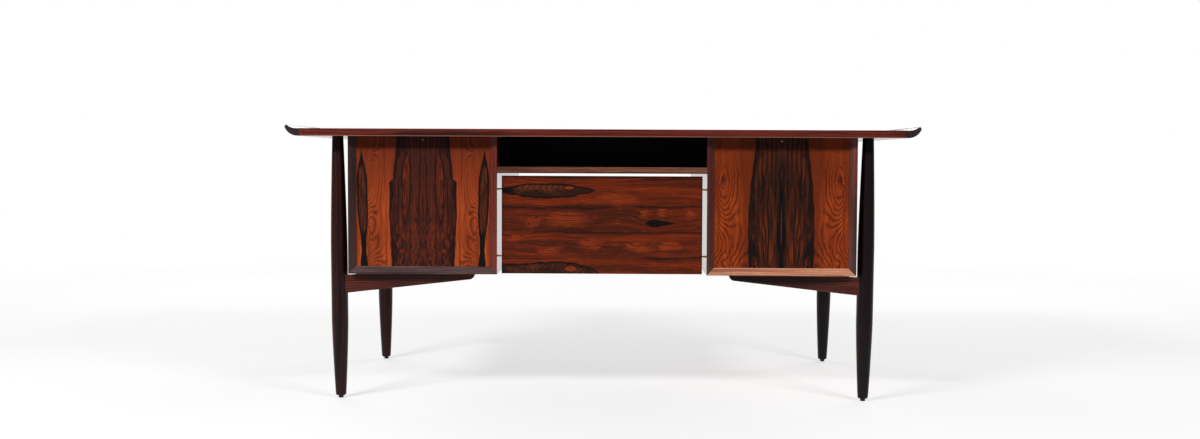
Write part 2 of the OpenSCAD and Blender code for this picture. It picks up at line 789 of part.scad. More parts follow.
module drawer_pull(h) {
    color([0.3, 0.11, 0.07]) {
        translate([0, 0, (h - pull_h) / 2]) intersection() {
            translate([-pull_l / 2, 0, 0]) along_x(pull_l) pull_outline();
            linear_extrude(pull_h) union() {
                translate([-pull_l / 2, 0]) square([pull_l, pull_out - pull_end_r]);
                translate([pull_end_r - pull_l / 2, 0]) square([pull_l - 2 * pull_end_r, pull_out]);
                for (sx = [-1, 1]) translate([sx * (pull_l / 2 - pull_end_r), pull_out - pull_end_r])
                    circle(pull_end_r);
            }
        }
        pull_tongue(h);
    }
}

// One piece of a drawer, drawn where drawer number d stands
module drawer_piece(d, piece) {
    centre = d == len(PEDESTAL_DRAWERS);
    level = d % len(LEVELS);
    w = (centre ? knee_w : opening_w) - 2 * front_gap;
    h = centre ? centre_front_h : front_heights[level];
    l = centre ? centre_drawer_l : drawer_l;
    x = centre ? 0 : (d < len(LEVELS) ? -ped_mid_x : ped_mid_x);
    z = centre ? shelf_z + front_gap : front_z(level);
    translate([x, front_y, z]) {
        if (piece == "front") drawer_front(w, h, l);
        if (piece == "box") drawer_box(w, h, l);
        if (piece == "bottom") drawer_bottom(w, l);
        if (piece == "pull") drawer_pull(h);
    }
}

// What number k in SIDES or PLACES stands for: its side, -1 for the left, and its depth, -1 for the user's
function side_of(k) = k % 2 == 0 ? -1 : 1;
function depth_of(k) = k < 2 ? 1 : -1;

top_panel();
top_edgings();
for (k = [0, 1]) top_lip(side_of(k));
for (k = [0:3]) leg(side_of(k), depth_of(k));
for (k = [0:3]) arm(side_of(k), depth_of(k));
leg_glides();
for (k = [0, 1]) outer_side(side_of(k));
for (k = [0, 1]) inner_side(side_of(k));
for (k = [0, 1]) case_bottom(side_of(k));
for (k = [0, 1]) case_top(side_of(k));
for (k = [0, 1]) visitor_panel(side_of(k));
shelf_board();
shelf_back();
modesty_panel();
modesty_spacers();
drawer_runners();
arm_screws();
top_screws();
panel_screws();
for (d = [0:len(DRAWERS) - 1]) for (piece = DRAWER_PIECES)
    drawer_piece(d, piece);
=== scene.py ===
"""Looks of the executive desk: rosewood finishes on turned, moulded and eased pieces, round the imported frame.

Lengths are millimetres, as in the part's source, and meshes are made in metres.
The visitor's side faces -Y and the user's side +Y. The origin is on the floor under the middle of the top.
"""

from __future__ import annotations

import json
import logging
import math
from dataclasses import dataclass
from enum import Enum
from typing import Callable, Iterable, Sequence, Union

import bmesh
import bpy
from mathutils import Matrix, Vector

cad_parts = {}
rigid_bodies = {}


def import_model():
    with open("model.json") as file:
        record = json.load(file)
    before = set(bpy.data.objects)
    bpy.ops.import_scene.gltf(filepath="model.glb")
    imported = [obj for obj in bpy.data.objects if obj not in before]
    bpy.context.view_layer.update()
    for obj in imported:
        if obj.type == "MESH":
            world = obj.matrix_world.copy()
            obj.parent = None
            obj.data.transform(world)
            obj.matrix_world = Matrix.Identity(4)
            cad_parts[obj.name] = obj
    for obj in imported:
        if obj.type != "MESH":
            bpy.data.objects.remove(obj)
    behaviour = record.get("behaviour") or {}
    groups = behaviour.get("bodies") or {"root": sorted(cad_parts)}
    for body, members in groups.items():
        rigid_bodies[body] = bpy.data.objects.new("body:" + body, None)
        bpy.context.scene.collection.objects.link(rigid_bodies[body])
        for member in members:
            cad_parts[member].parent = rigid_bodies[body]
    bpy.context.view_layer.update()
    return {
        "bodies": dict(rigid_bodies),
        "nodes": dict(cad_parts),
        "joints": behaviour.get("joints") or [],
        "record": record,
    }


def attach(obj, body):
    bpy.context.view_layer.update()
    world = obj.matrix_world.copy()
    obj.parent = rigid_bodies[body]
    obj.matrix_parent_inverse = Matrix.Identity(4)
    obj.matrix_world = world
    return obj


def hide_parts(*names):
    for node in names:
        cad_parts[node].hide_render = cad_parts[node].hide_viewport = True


LOG = logging.getLogger("executive_desk")
MM = 0.001
NEAR = 0.1

Value = Union["Sock", float]
Colour = tuple[float, float, float]
Paint = Union["Sock", Colour]
Point = tuple[float, float]


def srgb(red: float, green: float, blue: float) -> Colour:
    """Turn a colour in levels of 0 to 255 into linear light.

    Args:
        red: Red level.
        green: Green level.
        blue: Blue level.

    Returns:
        The colour's three linear parts.
    """
    parts = [level / 255 for level in (red, green, blue)]
    linear = [p / 12.92 if p <= 0.04045 else ((p + 0.055) / 1.055) ** 2.4 for p in parts]
    return (linear[0], linear[1], linear[2])


class Sock:
    """An output of a shader node, on which Python's arithmetic adds Math nodes."""

    def __init__(self, graph: Graph, socket: bpy.types.NodeSocket) -> None:
        """Wrap an output socket of a graph."""
        self.graph = graph
        self.socket = socket

    def math(self, operation: str, *values: Value) -> Sock:
        """Add a Math node with its values in order, and return its output."""
        return self.graph.node("ShaderNodeMath", {"operation": operation}, dict(enumerate(values)))

    def __add__(self, other: Value) -> Sock:
        """Return self + other."""
        return self.math("ADD", self, other)

    def __sub__(self, other: Value) -> Sock:
        """Return self - other."""
        return self.math("SUBTRACT", self, other)

    def __rsub__(self, other: Value) -> Sock:
        """Return other - self."""
        return self.math("SUBTRACT", other, self)

    def __mul__(self, other: Value) -> Sock:
        """Return self * other."""
        return self.math("MULTIPLY", self, other)

    __radd__ = __add__
    __rmul__ = __mul__

    def __truediv__(self, other: Value) -> Sock:
        """Return self / other."""
        return self.math("DIVIDE", self, other)

    def __neg__(self) -> Sock:
        """Return -self."""
        return self * -1.0

    def __abs__(self) -> Sock:
        """Return the size of self without its sign."""
        return self.math("ABSOLUTE", self)

    def exp(self) -> Sock:
        """Return e to the power of self."""
        return self.math("EXPONENT", self)

    def most(self, other: Value) -> Sock:
        """Return the larger of self and other."""
        return self.math("MAXIMUM", self, other)

    def least(self, other: Value) -> Sock:
        """Return the smaller of self and other."""
        return self.math("MINIMUM", self, other)

    def fold(self, span: float) -> Sock:
        """Return self folded back and forth between 0 and span."""
        return self.math("PINGPONG", self, span)

    def step(self, low: float, high: float, start: float = 0.0, end: float = 1.0) -> Sock:
        """Ease from the start level to the end level as self passes from low to high."""
        settings = {"interpolation_type": "SMOOTHSTEP"}
        return self.graph.node("ShaderNodeMapRange", settings, {0: self, 1: low, 2: high, 3: start, 4: end})

    def fade(self, low: float, high: float) -> Sock:
        """Ease from 1 to 0 as self passes from low to high."""
        return self.step(low, high, 1.0, 0.0)


@dataclass(frozen=True)
class Swell:
    """A hill in a field of growth lines, round which they bend."""

    across: float
    up: float
    half_wide: float
    half_tall: float
    rise: float


@dataclass(frozen=True)
class Almond:
    """An almond-shaped patch of figure, with pointed or blunt ends to its height."""

    across: float
    up: float
    half_wide: float
    half_tall: float
    blunt: bool = False


class Graph:
    """The node tree of one material, or of the world."""

    COAT_ROUGHNESS = 0.2
    MIX_FIRST = 6
    MIX_SECOND = 7
    MIX_RESULT = 2

    def __init__(self, name: str, world: bool = False) -> None:
        """Start an empty material or world.

        Args:
            name: Its name.
            world: Whether it is a world.
        """
        self.owner = (bpy.data.worlds if world else bpy.data.materials).new(name)
        self.owner.use_nodes = True
        self.tree = self.owner.node_tree
        self.tree.nodes.clear()

    def node(
        self,
        kind: str,
        settings: dict[str, object] | None = None,
        inputs: dict[Union[int, str], Union[Value, Paint]] | None = None,
        output: Union[int, str] = 0,
    ) -> Sock:
        """Add a node.

        Args:
            kind: The node's type.
            settings: What is set on the node itself, such as its operation.
            inputs: The values or links of its inputs, by number or name.
            output: Which output to return.

        Returns:
            That output.
        """
        node = self.tree.nodes.new(kind)
        for name, value in (settings or {}).items():
            setattr(node, name, value)
        for key, value in (inputs or {}).items():
            if isinstance(value, Sock):
                self.tree.links.new(value.socket, node.inputs[key])
            elif isinstance(value, tuple) and len(node.inputs[key].default_value) == 4:
                node.inputs[key].default_value = (*value, 1.0)
            else:
                node.inputs[key].default_value = value
        return Sock(self, node.outputs[output])

    def axes(self) -> tuple[Sock, Sock, Sock]:
        """Read where a point lies on the object.

        Returns:
            Its X, Y and Z in millimetres.
        """
        place = self.node("ShaderNodeTexCoord", output="Object")
        split = self.node("ShaderNodeSeparateXYZ", inputs={0: place}).socket.node
        return tuple(Sock(self, out) * (1 / MM) for out in split.outputs)

    def noise(self, x: Value, y: Value, z: Value = 0.0, detail: float = 2.0, rough: float = 0.5) -> Sock:
        """Add a noise whose grains are about one unit across.

        Args:
            x: First coordinate.
            y: Second coordinate.
            z: Third coordinate.
            detail: How many finer layers it has.
            rough: How strong they are.

        Returns:
            A number round 0.5.
        """
        place = self.node("ShaderNodeCombineXYZ", inputs={0: x, 1: y, 2: z})
        inputs = {"Vector": place, "Scale": 1.0, "Detail": detail, "Roughness": rough}
        return self.node("ShaderNodeTexNoise", None, inputs)

    def pores(self, x: Value, y: Value, z: Value) -> Sock:
        """Return 1 in open pores about one unit across, and 0 between them."""
        return self.noise(x, y, z, detail=1).step(0.6, 0.7)

    def mix(self, share: Value, first: Paint, second: Paint) -> Sock:
        """Mix two colours, by the share of the second one from 0 to 1."""
        inputs = {0: share, self.MIX_FIRST: first, self.MIX_SECOND: second}
        return self.node("ShaderNodeMix", {"data_type": "RGBA"}, inputs, self.MIX_RESULT)

    def lay(self, colour: Paint, *layers: tuple[Value, Paint]) -> Paint:
        """Lay colours over a first one in turn.

        Args:
            colour: The first colour.
            *layers: Each further one's share from 0 to 1, and its colour.

        Returns:
            The colour that shows.
        """
        for share, paint in layers:
            colour = self.mix(share, colour, paint)
        return colour

    def swell(self, across: Sock, up: Sock, hill: Swell) -> Sock:
        """Return how near a place is to a hill's top.

        Args:
            across: Distance across the figure.
            up: Distance along it.
            hill: The hill.

        Returns:
            1 at its top and 0 far away.
        """
        side = (across - hill.across) / hill.half_wide
        rise = (up - hill.up) / hill.half_tall
        return (-(side * side + rise * rise)).exp()

    def almond(self, across: Sock, up: Sock, shape: Almond) -> Sock:
        """Return how far a place lies inside an almond.

        Args:
            across: Distance across the figure.
            up: Distance along it.
            shape: The almond.

        Returns:
            Millimetres inside its edge, less than nothing outside it.
        """
        rise = (up - shape.up) / shape.half_tall
        fall = rise * rise
        if shape.blunt:
            fall = fall * fall * fall
        return (1.0 - fall) * shape.half_wide - abs(across - shape.across)

    def contour(self, field: Sock, spacing: float, share: float) -> Sock:
        """Return 1 on the level lines of a field, which take up a share of their spacing, and 0 between."""
        return (field / spacing).fold(0.5).fade(0.0, share)

    def finish(
        self,
        colour: Paint,
        roughness: Value,
        relief: Sock,
        depth: float,
        metallic: float = 0.0,
        specular: float = 0.2,
        coat: Value = 0.0,
    ) -> bpy.types.Material:
        """Close the graph with a surface.

        Args:
            colour: Its base colour.
            roughness: Its roughness.
            relief: Its height from 0 to 1.
            depth: The height of that relief in millimetres.
            metallic: 1 for a metal.
            specular: Level of its sheen.
            coat: How much clear finish lies on it.

        Returns:
            The finished material.
        """
        bump = {"Strength": 1.0, "Distance": depth * MM, "Height": relief}
        inputs = {
            "Base Color": colour,
            "Roughness": roughness,
            "Metallic": metallic,
            "Specular IOR Level": specular,
            "Coat Weight": coat,
            "Coat Roughness": self.COAT_ROUGHNESS,
            "Normal": self.node("ShaderNodeBump", None, bump),
        }
        self.close(self.node("ShaderNodeBsdfPrincipled", None, inputs))
        return self.owner

    def close(self, surface: Sock, kind: str = "ShaderNodeOutputMaterial") -> None:
        """Link a shader to the output node."""
        end = self.tree.nodes.new(kind)
        self.tree.links.new(surface.socket, end.inputs["Surface"])

    def shown(self) -> tuple[Sock, Sock]:
        """Tell the kinds of ray apart.

        Returns:
            Whether a ray comes from the camera, and whether it is a mirrored or a clear one.
        """
        path = self.tree.nodes.new("ShaderNodeLightPath")
        camera, glossy, clear = (
            Sock(self, path.outputs[f"Is {kind} Ray"]) for kind in ("Camera", "Glossy", "Transmission")
        )
        return camera, glossy.most(clear)


class Grain(Enum):
    """Which way a board's grain runs: the numbers of its axes along, across and through."""

    LENGTH = (0, 1, 2)
    DEPTH = (1, 0, 2)
    HEIGHT = (2, 0, 1)

    def sort(self, axes: Sequence[Sock]) -> tuple[Sock, ...]:
        """Return the object's axes in the order along, across and through."""
        return tuple(axes[number] for number in self.value)


@dataclass(frozen=True)
class Tones:
    """The colours of one kind of rosewood, from its palest wood to its growth lines."""

    pale: Colour
    middle: Colour
    deep: Colour
    line: Colour


RED_BROWN = Tones(srgb(112, 42, 29), srgb(86, 30, 21), srgb(56, 19, 14), srgb(33, 12, 10))
NEAR_BLACK = Tones(srgb(58, 22, 18), srgb(32, 13, 11), srgb(17, 8, 8), srgb(8, 5, 6))
ORANGE = Tones(srgb(176, 77, 32), srgb(142, 55, 20), srgb(98, 35, 14), srgb(48, 17, 8))
AMBER = Tones(srgb(172, 70, 22), srgb(138, 50, 13), srgb(90, 32, 9), srgb(44, 15, 6))


@dataclass(frozen=True)
class Finish:
    """A finish of the desk, which makes the material of its name."""

    name: str

    def build(self) -> bpy.types.Material:
        """Return the material, which each kind of finish makes in its own way."""
        raise NotImplementedError


@dataclass(frozen=True)
class SolidRosewood(Finish):
    """Solid rosewood under satin oil: growth lines, darker streaks and open pores along the grain."""

    grain: Grain
    tones: Tones
    ring: float = 4.5
    streak_w: float = 24.0
    darkness: float = 0.5
    wander: float = 16.0
    roughness: float = 0.3
    coat: float = 0.0
    relief: float = 0.08
    # rubbed_below and its tone paint a pale highlight line along the lower edge, where the floor's light would
    # catch the arris.
    rubbed_below: float = 0.0
    rubbed_tone: Colour = srgb(150, 108, 88)

    def gloss(self, _x: Sock, _y: Sock) -> Value:
        """Return how much clear finish lies on the wood."""
        return self.coat

    def build(self) -> bpy.types.Material:
        """Make the material.

        Returns:
            The wood, with a painted pale highlight along its lower edge where that is asked for.
        """
        g = Graph(self.name)
        axes = g.axes()
        along, across, through = self.grain.sort(axes)
        drift = g.noise(along / 380, across / 60, through / 60) - 0.5
        field = across * 0.8 + through * 0.6 + drift * self.wander
        bold = g.noise(field / 11, along / 500).step(0.35, 0.65)
        lines = g.contour(field, self.ring, 0.32) * (0.25 + bold * 0.75)
        streaks = g.noise(field / self.streak_w, along / 650, 7.0, detail=3)
        dark = streaks.step(0.62 - self.darkness * 0.3, 0.78 - self.darkness * 0.3)
        fibres = g.noise(along / 50, across / 1.1, through / 1.1, detail=3)
        pores = g.pores(along / 9, across / 0.7, through / 0.7)
        colour = g.lay(
            self.tones.middle,
            (fibres.step(0.3, 0.7), self.tones.pale),
            (dark, self.tones.deep),
            (lines * 0.8, self.tones.line),
            (pores * 0.55, self.tones.line),
        )
        # Painted highlight: a pale line along the lower edge, standing in for the floor's light on the lower
        # arris.
        if self.rubbed_below:
            painted_highlight = axes[2].step(self.rubbed_below - 1.2, self.rubbed_below + 0.6, 0.75, 0.0)
            colour = g.mix(painted_highlight, colour, self.rubbed_tone)
        height = 1.0 - pores * 0.7 - lines * 0.2 + fibres * 0.15
        coat = self.gloss(axes[0], axes[1])
        return g.finish(colour, self.roughness + pores * 0.12, height, self.relief, coat=coat)


@dataclass(frozen=True)
class CaseRosewood(SolidRosewood):
    """The wood of a pedestal's side boards, with a clear coat on their noses and towards the kneehole."""

    middle: float = 0.0
    half_w: float = 200.0
    nose_end_y: float = -362.0
    nose_fade: float = 6.0
    kneehole_half_w: float = 280.5
    skin_from: float = 0.3
    skin_to: float = 0.9

    def gloss(self, x: Sock, y: Sock) -> Value:
        """Return how much clear finish lies on the wood.

        Args:
            x: The object's X.
            y: Its Y.

        Returns:
            1 on the nose, short of the pedestal's outer faces, and on the face towards the kneehole.
        """
        inside = abs(x - self.middle).fade(self.half_w - self.skin_to, self.half_w - self.skin_from)
        nose = inside * y.fade(self.nose_end_y, self.nose_end_y + self.nose_fade)
        face_x = self.kneehole_half_w
        return nose.most(abs(x).fade(face_x + self.skin_from, face_x + self.skin_to))


@dataclass(frozen=True)
class PlainVeneer(Finish):
    """Rosewood veneer laid in mirrored leaves, with broad bands of light and dark wood."""

    grain: Grain
    tones: Tones
    leaf: float = 210.0
    middle: float = 0.0
    darkness: float = 0.5
    roughness: float = 0.36
    relief: float = 0.06
    seed: float = 0.0
    sealed_below: float = 0.0

    def build(self) -> bpy.types.Material:
        """Make the material.

        Returns:
            The veneer, with a clear coat on its underside where that is asked for.
        """
        g = Graph(self.name)
        axes = g.axes()
        along, across, through = self.grain.sort(axes)
        leaf = (across - self.middle).fold(self.leaf)
        drift = g.noise(along / 330, leaf / 55, self.seed, detail=4) - 0.5
        field = leaf + drift * 54
        bands = g.noise(field / 44, along / 1400, self.seed + 3, detail=3)
        dark = bands.step(0.54 - self.darkness * 0.24, 0.72 - self.darkness * 0.24) * 0.8
        bold = g.noise(field / 9, along / 500, self.seed + 5).step(0.4, 0.62, 0.1, 0.8)
        lines = g.contour(field, 5.8, 0.32) * bold
        ink = g.contour(field + drift * 20, 47.0, 0.05) * g.noise(along / 260, field / 30).step(0.45, 0.55)
        streaks = g.noise(field / 3.6, along / 170, self.seed + 9, detail=4, rough=0.6).step(0.38, 0.64)
        fibres = g.noise(along / 60, leaf / 1.2, through / 1.2, detail=3)
        pores = g.pores(along / 10, leaf / 0.8, through / 0.8)
        colour = g.lay(
            self.tones.middle,
            (fibres.step(0.3, 0.7), self.tones.pale),
            (dark, self.tones.deep),
            (streaks * 0.45, g.mix(dark, self.tones.deep, self.tones.line)),
            (lines * 0.8, self.tones.line),
            (ink * 0.8, NEAR_BLACK.line),
            (pores * 0.5, self.tones.line),
        )
        height = 1.0 - pores * 0.7 - lines * 0.15
        coat: Value = 0.0
        if self.sealed_below:
            coat = axes[2].fade(self.sealed_below, self.sealed_below + 2.0)
        return g.finish(colour, self.roughness + pores * 0.1, height, self.relief, coat=coat)


@dataclass(frozen=True)
class PanelVeneer(Finish):
    """What the visitor's panels share: the place that their figure is measured from, and their finish."""

    start_x: float
    start_z: float
    tones: Tones = ORANGE
    roughness: float = 0.32
    sheen: float = 0.16
    relief: float = 0.05

    def close(self, g: Graph, colour: Paint, lines: Sock, pores: Sock) -> bpy.types.Material:
        """Lay the pores over the figure and finish the material.

        Args:
            g: The material's graph.
            colour: The figure's colour.
            lines: Its growth lines.
            pores: Its pores.

        Returns:
            The material.
        """
        colour = g.mix(pores * 0.45, colour, self.tones.line)
        height = 1.0 - pores * 0.7 - lines * 0.2
        return g.finish(colour, self.roughness + pores * 0.1, height, self.relief, specular=self.sheen)


@dataclass(frozen=True)
class VisitorVeneer(PanelVeneer):
    """What the two book-matched panels of the visitor's side share, with the match at their starting X."""

    swells: tuple[Swell, ...] = ()

    def places(self, g: Graph) -> tuple[Sock, Sock, Sock]:
        """Return the distance from the book match, the same with a waver, and the height on the panel.

        Args:
            g: The material's graph.

        Returns:
            The three distances in millimetres.
        """
        x, _, z = g.axes()
        across = abs(x - self.start_x)
        up = z - self.start_z
        waver = g.noise(across / 24, up / 90, 1.7, detail=4) - 0.5
        return across, across + waver * 14, up

    def growth(self, g: Graph, across: Sock, wavering: Sock, up: Sock, spacing: float) -> tuple[Sock, Sock]:
        """Return the field of growth and its lines, which are boldest where they bend.

        Args:
            g: The material's graph.
            across: Distance from the book match.
            wavering: The same with a waver.
            up: Height on the panel.
            spacing: Distance between the lines.

        Returns:
            The field in millimetres, and 1 on the lines.
        """
        field = wavering
        ripple = g.noise(across / 9, up / 8, 3.4, detail=2) * 12 - 6
        bold = g.noise(wavering / 10, up / 380, 2.0, detail=3).step(0.4, 0.62, 0.15, 0.8)
        for hill in self.swells:
            share = g.swell(across, up, hill)
            field = field + share * (ripple + hill.rise)
            bold = bold.most(share.step(0.08, 0.36))
        broken = g.noise(wavering / 1.5, up / 20, 6.1).step(0.3, 0.6, 0.6, 1.0)
        return field, g.contour(field, spacing, 0.36) * bold * broken

    def grain(self, g: Graph, wavering: Sock, up: Sock) -> tuple[Sock, Sock]:
        """Return the veneer's dark fibres and its pores.

        Args:
            g: The material's graph.
            wavering: Distance from the book match with a waver.
            up: Height on the panel.

        Returns:
            Two levels from 0 to 1.
        """
        broad = g.noise(wavering / 4.2, up / 150, 4.1, detail=4, rough=0.6).step(0.38, 0.64)
        fine = g.noise(wavering / 1.3, up / 60, 8.3).step(0.3, 0.7)
        return broad * 0.65 + fine * 0.35, g.pores(wavering / 0.8, up / 11, 9.2)


@dataclass(frozen=True)
class AlmondVeneer(VisitorVeneer):
    """The left panel: a brown middle between orange bands, each with a long dark almond."""

    middle_tones: Tones = Tones(srgb(128, 46, 21), srgb(84, 35, 22), srgb(34, 14, 10), srgb(12, 6, 6))
    middle_fibre: Colour = srgb(24, 11, 9)
    middle_line: Colour = srgb(16, 8, 7)
    eye_black: Colour = srgb(8, 6, 6)
    eye_dark: Colour = srgb(36, 16, 10)
    eye_brown: Colour = srgb(86, 38, 19)
    streak: Almond = Almond(45.0, 212.0, 11.5, 98.0)
    lean: float = 0.024
    eye_foot: float = 158.5
    eye_top: float = 328.0
    swells: tuple[Swell, ...] = (
        Swell(149.0, 112.0, 26.0, 56.0, -46.0),
        Swell(140.0, 340.0, 22.0, 50.0, -44.0),
        Swell(132.0, -14.0, 28.0, 52.0, -50.0),
        Swell(50.0, -14.0, 16.0, 76.0, 44.0),
        Swell(46.0, 212.0, 13.0, 95.0, 26.0),
        Swell(12.0, 60.0, 12.0, 90.0, 20.0),
    )

    def middle_wood(self, g: Graph, wavering: Sock, up: Sock, inward: Sock) -> Paint:
        """Return the colour of the brown middle.

        Args:
            g: The material's graph.
            wavering: Distance from the book match with a waver.
            up: Height on the panel.
            inward: Distance inside the edge of the brown middle.

        Returns:
            The colour.
        """
        tones = self.middle_tones
        wood = g.noise(wavering / 6, up / 260, 3.0, detail=4).step(0.36, 0.64)
        mottle = g.noise(wavering / 6, up / 24, 5.0, detail=5, rough=0.6).step(0.46, 0.58)
        inside = g.almond(wavering, up, self.streak)
        fill = g.noise(wavering / 3, up / 120, 11.0, detail=3).step(0.3, 0.6, 0.3, 0.72)
        depth = g.noise(up / 90, 3.0, 7.0, detail=3).step(0.35, 0.65, 4.0, 16.0)
        border = inward.step(0.0, 3.0) * (inward - depth).fade(-4.0, 4.0)
        return g.lay(
            tones.deep,
            (wood, tones.middle),
            (mottle * up.step(70.0, 150.0, 0.6, 0.1), tones.pale),
            (inside.step(0.0, 3.0) * fill, tones.pale),
            (abs(inside).step(0.4, 2.8, 0.85, 0.0), tones.line),
            (abs(inside - 6.4).step(0.0, 1.8, 0.6, 0.0), tones.line),
            (border * 0.8, tones.line),
        )

    def build(self) -> bpy.types.Material:
        """Make the material.

        Returns:
            The veneer, with a dark almond in each of its orange bands.
        """
        g = Graph(self.name)
        across, wavering, up = self.places(g)
        lines = self.growth(g, across, wavering, up, 7.4)[1]
        fibres, pores = self.grain(g, wavering, up)
        edge = up.step(0.0, 150.0, 85.0, 91.0) - up.step(224.0, 236.0, 0.0, 10.0)
        edge = edge - up.step(240.0, 330.0, 0.0, 8.0)
        inward = edge + g.noise(up / 46, across / 40, 6.0, detail=5) * 9 - 4.5 - across
        inner = inward.step(-1.2, 1.2)
        half = up.step(0.0, 45.0, 9.7, 6.2) + up.step(50.0, 150.0, 0.0, 8.0)
        half = half * up.fade(228.0, self.eye_top) + up.step(0.0, self.eye_top, 0.4, -0.4)
        ragged = g.noise(up / 16, across / 30, 3.0, detail=3) * 3 - 1.5
        eye = half - abs(wavering * 0.25 + across * 0.75 - up * self.lean - self.eye_foot) + ragged
        mottled = g.noise(wavering / 2.4, up / 34, 2.2, detail=5, rough=0.6).step(0.4, 0.64)
        core = eye.step(3.2, 5.4) * up.step(78.0, 104.0) * up.fade(258.0, 284.0)
        colour = g.lay(
            self.tones.middle,
            (g.noise(wavering / 16, up / 200, 8.0).step(0.35, 0.65), self.tones.pale),
            # Darker towards the top: partly darker wood, partly painted shade deepening the worktop's shadow
            # across the panel's top.
            (up.step(110.0, 310.0) * 0.75, self.tones.deep),
            (inner, self.middle_wood(g, wavering, up, inward)),
            (fibres * 0.4, g.mix(inner, self.tones.deep, self.middle_fibre)),
            (lines * 0.85, g.mix(inner, self.tones.line, self.middle_line)),
            (eye.step(-0.8, 0.8), self.eye_black),
            (core, g.mix(mottled, self.eye_dark, self.eye_brown)),
        )
        return self.close(g, colour, lines, pores)


@dataclass(frozen=True)
class FlameVeneer(VisitorVeneer):
    """The right panel: a dark middle with a black spindle and red flames, between orange bands with knots."""

    tones: Tones = AMBER
    middle_tones: Tones = Tones(srgb(126, 47, 16), srgb(74, 32, 15), srgb(20, 9, 6), srgb(8, 5, 4))
    middle_fibre: Colour = srgb(14, 7, 6)
    middle_line: Colour = srgb(10, 5, 4)
    spindle_tone: Colour = srgb(5, 4, 4)
    sliver_tone: Colour = srgb(86, 35, 17)
    knot_tone: Colour = srgb(20, 11, 9)
    spindle: Almond = Almond(0.0, 84.0, 11.5, 64.0)
    needle: Almond = Almond(0.0, 120.0, 6.5, 122.0)
    sliver: Almond = Almond(0.0, 112.0, 2.5, 74.0)
    swells: tuple[Swell, ...] = (
        Swell(165.0, 230.0, 46.0, 142.0, -118.0),
        Swell(152.0, 338.0, 24.0, 34.0, -40.0),
        Swell(180.0, 6.0, 42.0, 44.0, -50.0),
        Swell(112.0, -34.0, 34.0, 90.0, -40.0),
        Swell(66.0, -30.0, 17.0, 104.0, 26.0),
    )
    knots: tuple[Almond, ...] = (Almond(158.0, 238.0, 2.2, 10.0), Almond(165.0, 219.0, 2.0, 9.0))

    def middle_wood(self, g: Graph, across: Sock, field: Sock, up: Sock, inward: Sock) -> Paint:
        """Return the colour of the dark middle.

        Args:
            g: The material's graph.
            across: Distance from the book match.
            field: The field of growth.
            up: Height on the panel.
            inward: Distance inside the edge of the dark middle.

        Returns:
            The colour.
        """
        tones = self.middle_tones
        wood = g.noise(field / 6, up / 150, 3.0, detail=5, rough=0.6).step(0.38, 0.62)
        flames = g.noise(field / 5, up / 80, 7.0, detail=4).step(0.5, 0.6)
        flames = flames * up.step(60.0, 190.0, 0.85, 0.25) * across.step(10.0, 24.0)
        depth = g.noise(up / 90, 5.0, 2.0, detail=3).step(0.35, 0.65, 6.0, 22.0)
        border = inward.step(0.0, 3.0) * (inward - depth).fade(-6.0, 6.0)
        return g.lay(tones.deep, (wood, tones.middle), (flames, tones.pale), (border * 0.75, tones.line))

    def build(self) -> bpy.types.Material:
        """Make the material.

        Returns:
            The veneer, with its spindle on the book match.
        """
        g = Graph(self.name)
        across, wavering, up = self.places(g)
        field, lines = self.growth(g, across, wavering, up, 8.6)
        lines = lines * up.step(236.0, 290.0, 1.0, 0.4)
        fibres, pores = self.grain(g, wavering, up)
        ragged = g.noise(up / 60, across / 50, 6.0, detail=5) * 10 - 5
        inward = up.step(150.0, 380.0, 88.0, 69.0) + ragged - across
        inner = inward.step(-1.6, 1.6)
        # shade: darker wood beside the dark middle, plus painted shade towards the top that deepens the
        # worktop's shadow.
        shade = (across.step(92.0, 128.0, 0.7, 0.0) + up.step(130.0, 300.0) * 0.6).least(0.85)
        spindle = g.almond(across, up, self.spindle).most(g.almond(across, up, self.needle))
        spindle = spindle.most(up.step(0.0, 44.0, 6.6, 4.0) - across - up.step(44.0, 60.0, 0.0, 40.0))
        knots = [(g.almond(across, up, knot).step(0.0, 0.9), self.knot_tone) for knot in self.knots]
        colour = g.lay(
            self.tones.middle,
            (g.noise(wavering / 18, up / 160, 8.0).step(0.35, 0.65), self.tones.pale),
            (shade, self.tones.deep),
            (inner, self.middle_wood(g, across, field, up, inward)),
            (fibres * 0.42, g.mix(inner, self.tones.deep, self.middle_fibre)),
            (lines * 0.85, g.mix(inner, self.tones.line, self.middle_line)),
            (spindle.step(-0.8, 0.9), self.spindle_tone),
            (g.almond(across, up, self.sliver).step(0.0, 1.8), self.sliver_tone),
            *knots,
        )
        return self.close(g, colour, lines, pores)


@dataclass(frozen=True)
class Island:
    """A dark island in the figure: its body and tail, its orange heart, and where its black end stops."""

    body: Almond
    tail: Almond
    heart: Almond
    black_to: float


@dataclass(frozen=True)
class Seam:
    """A dark line along the grain: its height, where it starts and ends, and half its width."""

    level: float
    start: float
    end: float
    half_wide: float


